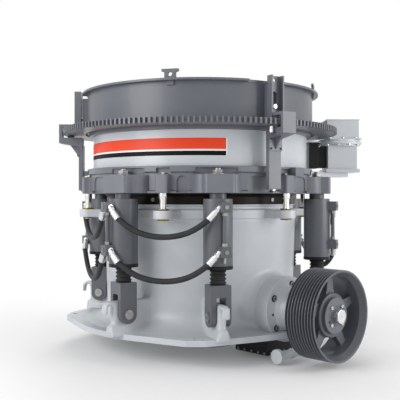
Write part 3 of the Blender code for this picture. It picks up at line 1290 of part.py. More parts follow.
def make_sheave():
    """Grooved sheave with five spokes and a hub."""
    body = turned(rim_outline(), SHEAVE_SEGMENTS, ALONG_SHAFT)
    bore = bore_radius(BUSHING_RADIUS, SEAT_GAP, SHEAVE_SEGMENTS)
    hub = turned([(bore, WEB_BACK - HUB_STAND), (SHEAVE_HUB_RADIUS, WEB_BACK - HUB_STAND),
                  (SHEAVE_HUB_RADIUS, WEB_FRONT + HUB_STAND), (bore, WEB_FRONT + HUB_STAND)],
                 SHEAVE_SEGMENTS, ALONG_SHAFT)
    spokes = []
    for spoke in range(SPOKE_COUNT):
        turn = Matrix.Rotation(radians(90 + 360 * spoke / SPOKE_COUNT), 4, "X")
        spokes.append(block((WEB_BACK, SHEAVE_HUB_RADIUS - SPOKE_FUSE, -SPOKE_WIDTH / 2),
                            (WEB_FRONT, SHEAVE_RADIUS - SHEAVE_RIM_THICKNESS, SPOKE_WIDTH / 2),
                            Matrix.Translation((0, 0, SHAFT_HEIGHT)) @ turn))
    return join(body, [hub] + spokes)


def make_bushing():
    """Taper bushing between the shaft and the sheave, with its bolts."""
    bore = bore_radius(COUNTERSHAFT_RADIUS, SEAT_GAP, INNER_SEGMENTS)
    start = WEB_BACK - HUB_STAND
    hub_face = WEB_FRONT + HUB_STAND + SEAT_GAP
    face = hub_face + BUSHING_THICKNESS
    body = turned([(bore, start), (BUSHING_RADIUS, start), (BUSHING_RADIUS, hub_face),
                   (BUSHING_FLANGE, hub_face),
                   (BUSHING_FLANGE, face), (bore, face)], INNER_SEGMENTS, ALONG_SHAFT)
    return join(body, bolt_heads(BUSHING_BOLTS, BUSHING_BOLT_CIRCLE, 0, face, BUSHING_BOLT_RADIUS,
                                 BUSHING_BOLT_HEIGHT))


def make_guard_plate():
    """Guard plate bolted under the countershaft boss."""
    return block((GUARD_BACK, -GUARD_HALF_WIDTH, GUARD_TOP - GUARD_THICKNESS),
                 (GUARD_BACK + GUARD_LENGTH, GUARD_HALF_WIDTH, GUARD_TOP))


def make_oil_pipe():
    """Oil drain under the countershaft box: stub, elbow, pipe and flange."""
    top = SHAFT_HEIGHT - BOX_NECK_RADIUS - SEAT_GAP
    foot = DRAIN_HEIGHT - DRAIN_ELBOW
    end = -DRAIN_LENGTH - DRAIN_FLANGE_THICKNESS
    body = rod((DRAIN_X, 0, foot), (DRAIN_X, 0, top), DRAIN_STUB_RADIUS)
    run = rod((DRAIN_X, DRAIN_RADIUS, DRAIN_HEIGHT),
              (DRAIN_X, -DRAIN_LENGTH - DRAIN_ELBOW, DRAIN_HEIGHT), DRAIN_RADIUS)
    flange = rod((DRAIN_X, -DRAIN_LENGTH, DRAIN_HEIGHT), (DRAIN_X, end, DRAIN_HEIGHT),
                 DRAIN_FLANGE_RADIUS)
    return join(body, [run, flange])


def place(item, name, material, carrier, height=0.0):
    """Name a piece, give it its material and hang it from a carrier that stands at a height."""
    item.name = name
    item.data.name = name
    item.data.transform(Matrix.Translation((0, 0, -height)))
    item.data.materials.clear()
    item.data.materials.append(material)
    item.parent = carrier
    if item.type == "MESH":
        item.data.shade_smooth()
        item.data.set_sharp_from_angle(angle=radians(35))


def build_frame(base, light_grey, dark_grey, black, rubber, steel, wear_steel):
    """Build the pieces that stay on the foundation."""
    place(make_main_frame(), "main_frame", light_grey, base)
    place(make_frame_hub(), "frame_hub", light_grey, base)
    place(make_main_shaft(), "main_shaft", steel, base)
    place(make_eccentric(), "eccentric", wear_steel, base)
    place(make_head(), "crusher_head", wear_steel, base)
    place(make_mantle(), "mantle", wear_steel, base)
    place(make_feed_plate(), "feed_plate", wear_steel, base)
    place(make_countershaft_box(), "countershaft_box", light_grey, base)
    place(make_guard_plate(), "guard_plate", black, base)
    place(make_oil_pipe(), "oil_pipe", light_grey, base)
    for index in range(len(CYLINDER_ANGLES)):
        place(make_clevis(index), f"clevis_{index + 1}", dark_grey, base)
        place(make_boot(index), f"boot_{index + 1}", rubber, base)


def build_ring(ring, light_grey, dark_grey, rubber):
    """Build the pieces that the cylinders lift with the adjustment ring."""
    place(make_adjustment_ring(), "adjustment_ring", dark_grey, ring, FRAME_TOP)
    place(make_junction_box(), "junction_box", dark_grey, ring, FRAME_TOP)
    place(make_unit_gearbox(), "drive_gearbox", light_grey, ring, FRAME_TOP)
    place(make_unit_cover(), "pinion_cover", light_grey, ring, FRAME_TOP)
    for index in range(len(CYLINDER_ANGLES)):
        place(make_cylinder(index), f"cylinder_{index + 1}", dark_grey, ring, FRAME_TOP)
    for index, angle in enumerate(POST_ANGLES):
        place(make_roller_post(angle), f"roller_post_{index + 1}", dark_grey, ring, FRAME_TOP)
    for number, ((first, second), sags) in enumerate(zip(HOSE_GAPS, HOSE_SAGS)):
        for level, height, sag in zip(("upper", "lower"), MANIFOLD_HEIGHTS, sags):
            name = f"{level}_hose_{number + 1}"
            place(make_hose(name, hose_route(first, second, height, sag)), name, rubber, ring, FRAME_TOP)


def build_model():
    """Build every piece and hang it from its body."""
    clear_scene()
    light_grey = paint("light_grey_paint", (0.55, 0.58, 0.61), 0.45)
    dark_grey = paint("dark_grey_paint", (0.16, 0.17, 0.19), 0.45)
    black = paint("black_paint", (0.02, 0.02, 0.02), 0.5)
    rubber = paint("rubber", (0.03, 0.03, 0.03), 0.8)
    steel = paint("machined_steel", (0.62, 0.62, 0.62), 0.3, 1.0)
    wear_steel = paint("wear_steel", (0.25, 0.25, 0.25), 0.5, 1.0)
    base = empty("frame_carrier", (0, 0, 0))
    ring = empty("ring_carrier", (0, 0, FRAME_TOP), base)
    drive = empty("drive_carrier", (0, 0, DRIVE_BOTTOM - FRAME_TOP), ring)
    bowl = empty("bowl_carrier", (0, 0, 0), drive)
    shaft = empty("sheave_carrier", (0, 0, SHAFT_HEIGHT), base)
    build_frame(base, light_grey, dark_grey, black, rubber, steel, wear_steel)
    build_ring(ring, light_grey, dark_grey, rubber)
    place(make_drive_ring(), "drive_ring", dark_grey, drive, DRIVE_BOTTOM)
    place(make_bowl(), "bowl", light_grey, bowl, DRIVE_BOTTOM)
    place(make_bowl_liner(), "bowl_liner", wear_steel, bowl, DRIVE_BOTTOM)
    place(make_cap(), "adjustment_cap", dark_grey, bowl, DRIVE_BOTTOM)
    place(make_hopper(), "hopper", dark_grey, bowl, DRIVE_BOTTOM)
    place(make_countershaft(), "countershaft", steel, shaft, SHAFT_HEIGHT)
    place(make_bushing(), "sheave_bushing", dark_grey, shaft, SHAFT_HEIGHT)
    place(make_sheave(), "sheave", dark_grey, shaft, SHAFT_HEIGHT)


build_model()
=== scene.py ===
"""Finished look of a cone crusher, dressed on the frame of its CAD pieces.

Units are metres and +Z is up. The origin is the centre of the frame hub's foot and +X runs
along the countershaft. Each class is one sub-assembly: it holds its sizes, shapes its meshes
with bmesh operators, gives them their finish and hangs them on the body that they move with.
"""

import json
import logging
import math
from collections.abc import Iterable, Sequence
from dataclasses import dataclass, field
from enum import Enum

import bmesh
import bpy
from mathutils import Matrix, Vector

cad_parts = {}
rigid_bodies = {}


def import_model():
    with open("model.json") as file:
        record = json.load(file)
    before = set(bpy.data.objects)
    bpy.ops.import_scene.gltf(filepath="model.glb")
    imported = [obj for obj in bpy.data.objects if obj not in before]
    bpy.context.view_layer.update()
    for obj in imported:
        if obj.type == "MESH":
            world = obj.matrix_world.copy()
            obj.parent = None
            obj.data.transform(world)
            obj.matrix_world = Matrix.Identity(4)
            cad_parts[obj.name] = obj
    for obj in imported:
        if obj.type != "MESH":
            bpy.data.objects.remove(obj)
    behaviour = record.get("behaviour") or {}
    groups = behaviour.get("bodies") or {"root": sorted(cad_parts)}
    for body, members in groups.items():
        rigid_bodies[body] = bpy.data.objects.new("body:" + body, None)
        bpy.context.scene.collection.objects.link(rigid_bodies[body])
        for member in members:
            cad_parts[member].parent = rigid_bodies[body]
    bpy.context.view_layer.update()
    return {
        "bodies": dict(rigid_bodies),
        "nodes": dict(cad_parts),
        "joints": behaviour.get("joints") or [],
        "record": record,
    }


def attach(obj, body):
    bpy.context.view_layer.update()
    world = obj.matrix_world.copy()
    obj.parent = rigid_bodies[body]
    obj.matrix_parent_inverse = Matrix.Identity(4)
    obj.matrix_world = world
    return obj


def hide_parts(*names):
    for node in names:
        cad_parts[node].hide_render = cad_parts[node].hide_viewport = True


log = logging.getLogger("cone_crusher")

Pair = tuple[float, float]
Colour = tuple[float, float, float, float]

SKIN = 0.0008
FINE_STEPS = 128
MEDIUM_STEPS = 64
SMALL_STEPS = 32
MERGE_DISTANCE = 1e-6


class Body(Enum):
    """CAD bodies that the pieces ride on."""

    FRAME = "frame"
    RING = "ring"
    DRIVE = "drive"
    BOWL = "bowl"
    SHEAVE = "sheave"


def hex_colour(text: str) -> Colour:
    """Turns an sRGB hex colour into a linear one.

    Args:
        text: Colour such as "#C3C7CB".

    Returns:
        Red, green, blue and alpha.
    """
    channels = [int(text[place:place + 2], 16) / 255 for place in (1, 3, 5)]
    linear = [c / 12.92 if c <= 0.04045 else ((c + 0.055) / 1.055) ** 2.4 for c in channels]
    return (*linear, 1.0)


def add(tree: bpy.types.NodeTree, kind: str, inputs: dict | None = None, **settings) -> bpy.types.Node:
    """Adds one node with its settings, its plain inputs and its links.

    Args:
        tree: Node tree of a material.
        kind: Blender's name of the node type.
        inputs: A value or a linked socket for each input that isn't left at its default.
        **settings: Attributes of the node.

    Returns:
        The new node.
    """
    node = tree.nodes.new(kind)
    for name, value in settings.items():
        setattr(node, name, value)
    for name, value in (inputs or {}).items():
        if isinstance(value, bpy.types.NodeSocket):
            tree.links.new(value, node.inputs[name])
        else:
            node.inputs[name].default_value = value
    return node


@dataclass(frozen=True)
class Surface:
    """A finish: two close tones, a fine relief and a coarse one, with gloss that varies a little."""

    name: str
    slot: str
    tone: str
    worn_tone: str
    roughness: float
    metallic: float = 0.0
    coat: float = 0.0
    specular: float = 0.5
    grain_mm: float = 3.0
    grain_depth_mm: float = 0.05
    swell_mm: float = 60.0
    swell_depth_mm: float = 0.0
    patch_mm: float = 350.0
    ring_mm: float = 0.0
    ring_axis: str = "Z"

    def material(self) -> bpy.types.Material:
        """Makes the node material once and gives the same one after that.

        Returns:
            The material.
        """
        known = bpy.data.materials.get(self.name)
        if known is not None:
            return known
        material = bpy.data.materials.new(self.name)
        material.use_nodes = True
        tree = material.node_tree
        shader = tree.nodes["Principled BSDF"]
        place = add(tree, "ShaderNodeTexCoord").outputs["Object"]
        patches = self.noise(tree, place, self.patch_mm, 3.0)
        grain = self.noise(tree, place, self.grain_mm, 2.0)
        blend = add(tree, "ShaderNodeMapRange", {"Value": patches, "From Min": 0.35, "From Max": 0.70})
        speck = add(tree, "ShaderNodeMapRange", {"Value": grain, "To Min": -0.06, "To Max": 0.06})
        mixed = add(tree, "ShaderNodeMath", {0: blend.outputs[0], 1: speck.outputs[0]}, operation="ADD",
                    use_clamp=True)
        colour = add(tree, "ShaderNodeMix", {"Factor": mixed.outputs[0], "A": hex_colour(self.tone),
                                             "B": hex_colour(self.worn_tone)}, data_type="RGBA")
        tree.links.new(colour.outputs["Result"], shader.inputs["Base Color"])
        gloss = add(tree, "ShaderNodeMapRange", {"Value": patches, "To Min": self.roughness - 0.05,
                                                 "To Max": self.roughness + 0.05})
        tree.links.new(gloss.outputs[0], shader.inputs["Roughness"])
        shader.inputs["Metallic"].default_value = self.metallic
        shader.inputs["Coat Weight"].default_value = self.coat
        shader.inputs["Specular IOR Level"].default_value = self.specular
        shader.inputs["Coat Roughness"].default_value = 0.15
        tree.links.new(self.relief(tree, place, grain), shader.inputs["Normal"])
        return material

    def noise(self, tree: bpy.types.NodeTree, place: bpy.types.NodeSocket, size_mm: float,
              detail: float) -> bpy.types.NodeSocket:
        """Adds a noise whose features are about one size across.

        Args:
            tree: Node tree of the material.
            place: Coordinates in metres.
            size_mm: Size of a feature in millimetres.
            detail: Octaves of finer noise.

        Returns:
            The noise's value.
        """
        node = add(tree, "ShaderNodeTexNoise", {"Vector": place, "Scale": 1000 / size_mm, "Detail": detail,
                                                "Roughness": 0.55})
        return node.outputs[0]

    def relief(self, tree: bpy.types.NodeTree, place: bpy.types.NodeSocket,
               grain: bpy.types.NodeSocket) -> bpy.types.NodeSocket:
        """Adds the bump of the grain, of the swell under it and of turning marks.

        Args:
            tree: Node tree of the material.
            place: Coordinates in metres.
            grain: The fine noise.

        Returns:
            The bumped normal.
        """
        bump = add(tree, "ShaderNodeBump", {"Height": grain, "Distance": self.grain_depth_mm / 1000,
                                            "Strength": 1.0})
        if self.swell_depth_mm > 0:
            swell = self.noise(tree, place, self.swell_mm, 1.0)
            bump = add(tree, "ShaderNodeBump", {"Height": swell, "Distance": self.swell_depth_mm / 1000,
                                                "Normal": bump.outputs[0]})
        if self.ring_mm > 0:
            marks = add(tree, "ShaderNodeTexWave", {"Vector": place, "Scale": 1000 / self.ring_mm / 20,
                                                    "Distortion": 0.4, "Detail": 1.0},
                        wave_type="BANDS", bands_direction=self.ring_axis)
            bump = add(tree, "ShaderNodeBump", {"Height": marks.outputs[0],
                                                "Distance": self.grain_depth_mm / 1000,
                                                "Normal": bump.outputs[0]})
        return bump.outputs[0]


class Finish(Enum):
    """Finishes of the machine."""

    # Sprayed light grey machine enamel over a sand casting: satin, softly uneven like skin
    CAST_LIGHT = Surface("light_grey_enamel_on_casting", "light_grey_paint", "#C6CACE", "#BCC1C6", 0.42,
                         coat=0.15, grain_mm=4.0, grain_depth_mm=0.16, swell_mm=45.0, swell_depth_mm=0.5)
    # The same enamel on rolled plate and machined rims, so flatter and a little glossier
    PLATE_LIGHT = Surface("light_grey_enamel_on_plate", "light_grey_paint", "#C8CCD0", "#BEC3C8", 0.36,
                          coat=0.2, grain_mm=3.0, grain_depth_mm=0.05)
    # Sprayed dark grey enamel on plate
    PLATE_DARK = Surface("dark_grey_enamel_on_plate", "dark_grey_paint", "#676A72", "#5F626A", 0.40,
                         coat=0.15, grain_mm=3.0, grain_depth_mm=0.05)
    # The same enamel rolled on the hopper's large plates, a little duller, and toned darker as painted shade
    HOPPER_PAINTED_SHADE = Surface("dark_grey_enamel_with_painted_shade", "dark_grey_paint", "#62656D", "#5B5E66", 0.42,
                          coat=0.12, grain_mm=3.0, grain_depth_mm=0.05)
    # A lighter coat of the same enamel on posts and boxes
    PLATE_MID = Surface("mid_grey_enamel_on_plate", "dark_grey_paint", "#6B6E76", "#62656D", 0.40,
                        coat=0.15, grain_mm=3.0, grain_depth_mm=0.05)
    # Dark grey enamel over a casting, with the sand's fine grain under it
    CAST_DARK = Surface("dark_grey_enamel_on_casting", "dark_grey_paint", "#6E7179", "#666971", 0.43,
                        coat=0.12, grain_mm=4.0, grain_depth_mm=0.14, swell_mm=40.0, swell_depth_mm=0.35)
    # Darker enamel of the cylinders and rod ends
    CYLINDER_DARK = Surface("slate_enamel_on_steel_tube", "dark_grey_paint", "#585B62", "#505359", 0.38,
                            coat=0.2, grain_mm=3.0, grain_depth_mm=0.05)
    # Black enamel of the flanges, necks and guard plate
    BLACK = Surface("black_enamel", "black_paint", "#17181A", "#202124", 0.38, specular=0.2, grain_mm=3.0,
                    grain_depth_mm=0.06)
    # Oiled primer of the ring's skirt, brown-black
    SKIRT = Surface("oiled_black_primer", "black_paint", "#0C0B09", "#1E1A0C", 0.35, specular=0.12,
                    grain_mm=5.0,
                    grain_depth_mm=0.08, patch_mm=90.0)
    # Moulded nitrile rubber of the boots: matt with a dusty bloom
    RUBBER = Surface("moulded_nitrile_rubber", "rubber", "#232425", "#303132", 0.62, specular=0.3,
                     grain_mm=2.0,
                     grain_depth_mm=0.06)
    # Wrapped cover of hydraulic hose, whose cloth mark is drawn coarse enough to show
    HOSE = Surface("wrapped_hose_cover", "rubber", "#262628", "#303032", 0.62, specular=0.3, grain_mm=5.0,
                   grain_depth_mm=0.35, patch_mm=80.0)
    # Zinc plated steel of hose ends and bolts: pale, bright and slightly cloudy
    ZINC = Surface("bright_zinc_plate", "machined_steel", "#E4E5E6", "#CFD1D4", 0.24, metallic=0.9,
                   grain_mm=4.0, grain_depth_mm=0.02, patch_mm=30.0)
    # Ground steel of pins and shaft ends, with fine turning marks
    GROUND_STEEL = Surface("ground_steel", "machined_steel", "#E6E5E2", "#D6D5D2", 0.20, metallic=1.0,
                           grain_mm=2.0, grain_depth_mm=0.01, patch_mm=60.0, ring_mm=3.0)
    # Blued steel of pin heads and set screws
    DULL_STEEL = Surface("dull_steel", "machined_steel", "#A3A19E", "#8C8A88", 0.38, metallic=0.8,
                         grain_mm=3.0, grain_depth_mm=0.03, patch_mm=40.0)
    # Bronze of the guide bushes, yellow where grease has kept it clean
    BRONZE = Surface("leaded_bronze", "machined_steel", "#A58A2C", "#7D661E", 0.34, metallic=0.85,
                     grain_mm=3.0, grain_depth_mm=0.03, patch_mm=25.0)
    # Austenitic manganese steel of the wear parts: as cast, brown-grey and coarse
    MANGANESE = Surface("cast_manganese_steel", "wear_steel", "#6B6764", "#57524E", 0.55, metallic=0.55,
                        grain_mm=6.0, grain_depth_mm=0.4, swell_mm=50.0, swell_depth_mm=0.8)
    # Orange vinyl of the side stripe
    ORANGE_VINYL = Surface("orange_vinyl", "light_grey_paint", "#EF4520", "#E8401D", 0.40, specular=0.3,
                           grain_mm=20.0, grain_depth_mm=0.01)
    # Black vinyl of the side stripe
    BLACK_VINYL = Surface("black_vinyl", "black_paint", "#050505", "#080808", 0.45, specular=0.12,
                          grain_mm=20.0, grain_depth_mm=0.01)
    # White vinyl edge of the side stripe
    WHITE_VINYL = Surface("white_vinyl", "light_grey_paint", "#EEF1F3", "#E8EBED", 0.33, coat=0.3,
                          grain_mm=20.0, grain_depth_mm=0.01)

    @property
    def material(self) -> bpy.types.Material:
        """Node material of the finish."""
        return self.value.material()


def polar(radius: float, angle: float, height: float = 0.0) -> Vector:
    """Point at a radius and an angle in degrees round the machine's axis."""
    return Vector((radius * math.cos(math.radians(angle)), radius * math.sin(math.radians(angle)), height))


def station(radius: float, place: float, facing: float | None = None, height: float = 0.0) -> Matrix:
    """Frame at a place round the machine.

    Args:
        radius: Distance from the machine's axis.
        place: Angle of the place in degrees.
        facing: Angle that local X points along, which is outwards unless given.
        height: Height of the frame's origin.

    Returns:
        The frame as a matrix.
    """
    turn = place if facing is None else facing
    return Matrix.Translation(polar(radius, place, height)) @ Matrix.Rotation(math.radians(turn), 4, "Z")


def shaft_frame(height: float) -> Matrix:
    """Frame whose Z axis runs along the countershaft."""
    return Matrix.Translation((0, 0, height)) @ Matrix.Rotation(math.pi / 2, 4, "Y")


def upright(frame: Matrix) -> Matrix:
    """Turns a frame so that an outline's X and Y become its X and Z."""
    return frame @ Matrix.Rotation(math.pi / 2, 4, "X")


def arc(centre: Pair, radius: float, start: float, end: float, steps: int = 8) -> list[Pair]:
    """Points on an arc.

    Args:
        centre: Centre of the arc.
        radius: Radius of the arc.
        start: First angle in degrees.
        end: Last angle in degrees.
        steps: Chords in the arc.

    Returns:
        The points in order.
    """
    angles = [math.radians(start + (end - start) * step / steps) for step in range(steps + 1)]
    return [(centre[0] + radius * math.cos(a), centre[1] + radius * math.sin(a)) for a in angles]


def softened(outline: Sequence[Pair], radius: float, steps: int = 3) -> list[Pair]:
    """Rounds each corner of a closed outline, apart from those on its axis.

    Args:
        outline: Corners in order.
        radius: Distance from a corner at which its round starts.
        steps: Chords in each round.

    Returns:
        The rounded outline.
    """
    points: list[Pair] = []
    for index, corner in enumerate(outline):
        here = Vector(corner)
        back = Vector(outline[index - 1]) - here
        ahead = Vector(outline[(index + 1) % len(outline)]) - here
        straight = back.length < MERGE_DISTANCE or ahead.length < MERGE_DISTANCE or back.angle(ahead) > 2.9
        if corner[0] <= 0 or straight:
            points.append(corner)
            continue
        first = here + back.normalized() * min(radius, back.length * 0.45)
        last = here + ahead.normalized() * min(radius, ahead.length * 0.45)
        for step in range(steps + 1):
            share = step / steps
            point = first * (1 - share) ** 2 + here * 2 * share * (1 - share) + last * share ** 2
            points.append((point.x, point.y))
    return points


class Form:
    """A mesh under construction, shaped with bmesh operators."""

    def __init__(self) -> None:
        """Starts an empty mesh."""
        self.mesh = bmesh.new()

    @classmethod
    def turned(cls, profile: Sequence[Pair], steps: int = FINE_STEPS, soften: float = 0.0) -> "Form":
        """Spins a closed outline of (radius, height) pairs round the Z axis.

        Args:
            profile: Corners of the outline.
            steps: Facets round the axis.
            soften: Size of the round on each corner.

        Returns:
            The turned form.
        """
        form = cls()
        outline = softened(profile, soften) if soften > 0 else list(profile)
        verts = [form.mesh.verts.new((radius, 0.0, height)) for radius, height in outline]
        edges = [form.mesh.edges.new(ends) for ends in zip(verts, verts[1:] + verts[:1])
                 if max(end.co.x for end in ends) > 0]
        bmesh.ops.spin(form.mesh, geom=verts + edges, cent=(0, 0, 0), axis=(0, 0, 1), angle=math.tau,
                       steps=steps, use_merge=True)
        return form.tidy()

    @classmethod
    def plate(cls, outline: Sequence[Pair], low: float, high: float, bevel: float = 0.0) -> "Form":
        """Extrudes a closed outline of (x, y) pairs between two heights and rounds its rims.

        Args:
            outline: Corners of the outline.
            low: Height of the lower face.
            high: Height of the upper face.
            bevel: Width of the round on the rims.

        Returns:
            The plate.
        """
        form = cls()
        face = form.mesh.faces.new([form.mesh.verts.new((x, y, low)) for x, y in outline])
        grown = bmesh.ops.extrude_face_region(form.mesh, geom=[face])["geom"]
        lifted = [part for part in grown if isinstance(part, bmesh.types.BMVert)]
        bmesh.ops.translate(form.mesh, verts=lifted, vec=(0, 0, high - low))
        form.tidy()
        return form.bevelled(bevel) if bevel > 0 else form

    @classmethod
    def block(cls, low: Sequence[float], high: Sequence[float], bevel: float = 0.0) -> "Form":
        """Box between two corners, with rounded edges."""
        form = cls()
        middle = (Vector(low) + Vector(high)) / 2
        size = Vector(high) - Vector(low)
        bmesh.ops.create_cube(form.mesh, size=1.0,
                              matrix=Matrix.Translation(middle) @ Matrix.Diagonal((*size, 1.0)))
        return form.bevelled(bevel) if bevel > 0 else form

    @classmethod
    def rod(cls, start: Sequence[float], end: Sequence[float], radius: float, steps: int = SMALL_STEPS,
            bevel: float = 0.0, end_radius: float | None = None) -> "Form":
        """Round bar, cone or prism between two points.

        Args:
            start: Centre of the first end.
            end: Centre of the last end.
            radius: Radius of the first end.
            steps: Facets round the bar.
            bevel: Width of the round on its ends.
            end_radius: Radius of the last end where it differs.

        Returns:
            The bar.
        """
        form = cls()
        along = Vector(end) - Vector(start)
        turn = along.to_track_quat("Z", "Y").to_matrix().to_4x4()
        bmesh.ops.create_cone(form.mesh, cap_ends=True, segments=steps, radius1=radius,
                              radius2=radius if end_radius is None else end_radius, depth=along.length,
                              matrix=Matrix.Translation((Vector(start) + Vector(end)) / 2) @ turn)
        return form.bevelled(bevel) if bevel > 0 else form

    def tidy(self) -> "Form":
        """Merges doubles and turns the faces outwards."""
        bmesh.ops.remove_doubles(self.mesh, verts=self.mesh.verts, dist=MERGE_DISTANCE)
        bmesh.ops.dissolve_degenerate(self.mesh, edges=self.mesh.edges, dist=MERGE_DISTANCE)
        bmesh.ops.recalc_face_normals(self.mesh, faces=self.mesh.faces)
        return self

    def bevelled(self, width: float, segments: int = 2, fold: float = 50.0) -> "Form":
        """Rounds the edges that fold by more than an angle in degrees."""
        self.mesh.normal_update()
        sharp = [edge for edge in self.mesh.edges
                 if len(edge.link_faces) == 2 and edge.calc_face_angle(0.0) > math.radians(fold)]
        bmesh.ops.bevel(self.mesh, geom=sharp, offset=width, offset_type="OFFSET", affect="EDGES",
                        segments=segments, profile=0.5, material=-1, clamp_overlap=True)
        return self

    def placed(self, frame: Matrix) -> "Form":
        """Moves the form into a frame."""
        bmesh.ops.transform(self.mesh, matrix=frame, verts=self.mesh.verts)
        return self

    def with_forms(self, others: Iterable["Form"]) -> "Form":
        """Takes in other forms that don't touch this one, or that a casting's skin will cover."""
        for other in others:
            spare = bpy.data.meshes.new("spare")
            other.mesh.to_mesh(spare)
            other.mesh.free()
            self.mesh.from_mesh(spare)
            bpy.data.meshes.remove(spare)
        return self

    def combined(self, others: Iterable["Form"], operation: str, solver: str = "EXACT") -> "Form":
        """Joins other forms to this one, or cuts them from it, with Boolean modifiers.

        Args:
            others: Forms to join or cut.
            operation: "UNION" or "DIFFERENCE".
            solver: Blender's Boolean solver.

        Returns:
            This form, changed.
        """
        base = self.object("base")
        tools = [other.object("tool") for other in others]
        for tool in tools:
            step = base.modifiers.new("step", "BOOLEAN")
            step.operation = operation
            step.solver = solver
            step.object = tool
        result = base.evaluated_get(bpy.context.evaluated_depsgraph_get()).to_mesh()
        self.mesh = bmesh.new()
        self.mesh.from_mesh(result)
        for item in [base] + tools:
            mesh = item.data
            bpy.data.objects.remove(item)
            bpy.data.meshes.remove(mesh)
        return self

    def fused(self, others: Iterable["Form"]) -> "Form":
        """Joins other forms to this one."""
        return self.combined(others, "UNION")

    def cut(self, others: Iterable["Form"], solver: str = "EXACT") -> "Form":
        """Cuts other forms out of this one."""
        return self.combined(others, "DIFFERENCE", solver)

    def cast(self, voxel: float, rounds: int) -> "Form":
        """Covers overlapping forms with one closed skin and rounds its corners like a casting's.

        Args:
            voxel: Size of the skin's squares.
            rounds: Smoothing passes.

        Returns:
            This form, changed.
        """
        base = self.object("base")
        skin = base.modifiers.new("skin", "REMESH")
        skin.mode = "VOXEL"
        skin.voxel_size = voxel
        result = base.evaluated_get(bpy.context.evaluated_depsgraph_get()).to_mesh()
        self.mesh = bmesh.new()
        self.mesh.from_mesh(result)
        mesh = base.data
        bpy.data.objects.remove(base)
        bpy.data.meshes.remove(mesh)
        for _ in range(rounds):
            bmesh.ops.smooth_vert(self.mesh, verts=self.mesh.verts, factor=0.5, use_axis_x=True,
                                  use_axis_y=True, use_axis_z=True)
        return self

    def object(self, name: str) -> bpy.types.Object:
        """Hands the mesh over to a new object."""
        mesh = bpy.data.meshes.new(name)
        self.mesh.to_mesh(mesh)
        self.mesh.free()
        item = bpy.data.objects.new(name, mesh)
        bpy.context.scene.collection.objects.link(item)
        return item


def hex_bolt(frame: Matrix, size: float, height: float, washer: float = 0.0) -> Form:
    """Hexagon head with a washer under it, standing on a frame's XY plane.

    Args:
        frame: Frame whose Z axis is the bolt's.
        size: Radius across the corners.
        height: Height of the head.
        washer: Thickness of the washer.

    Returns:
        The bolt's head.
    """
    head = Form.rod((0, 0, washer), (0, 0, washer + height), size, 6, bevel=size * 0.10)
    if washer > 0:
        head.with_forms([Form.rod((0, 0, 0), (0, 0, washer), size * 1.25, SMALL_STEPS, bevel=washer * 0.3)])
    return head.placed(frame)


def socket_screw(frame: Matrix, radius: float, height: float) -> Form:
    """Cap screw with its hexagon socket, standing on a frame's XY plane."""
    head = Form.rod((0, 0, 0), (0, 0, height), radius, SMALL_STEPS, bevel=radius * 0.12)
    socket = Form.rod((0, 0, height * 0.45), (0, 0, height * 2), radius * 0.55, 6)
    return head.cut([socket]).placed(frame)


def ring_of(count: int, circle: float, start: float = 0.0) -> list[Matrix]:
    """Frames spaced evenly round a Z axis.

    Args:
        count: Number of frames.
        circle: Radius of the circle.
        start: Angle of the first in degrees.

    Returns:
        The frames, with local X pointing outwards.
    """
    return [station(circle, start + 360 * place / count) for place in range(count)]


class Assembly:
    """A sub-assembly that makes finished pieces for one body."""

    body: Body = Body.FRAME

    def piece(self, name: str, form: Form, finish: Finish, replaces: Sequence[str] = (),
              crease: float = 32.0, weighted: bool = True, body: Body | None = None) -> bpy.types.Object:
        """Finishes one piece and hangs it on its body.

        Args:
            name: Name of the piece.
            form: Its mesh, in place.
            finish: Its finish.
            replaces: CAD nodes that it stands for.
            crease: Fold in degrees past which an edge stays sharp.
            weighted: Whether large faces lead the shading of their rounded edges.
            body: Body where it isn't the assembly's own.

        Returns:
            The finished object.
        """
        item = form.object(name)
        item.data.materials.append(finish.material)
        item.data.shade_smooth()
        item.data.set_sharp_from_angle(angle=math.radians(crease))
        if weighted:
            shading = item.modifiers.new("shading", "WEIGHTED_NORMAL")
            shading.keep_sharp = True
        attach(item, (body or self.body).value)
        if replaces:
            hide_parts(*replaces)
        log.info("%s: %d faces", name, len(item.data.polygons))
        return item


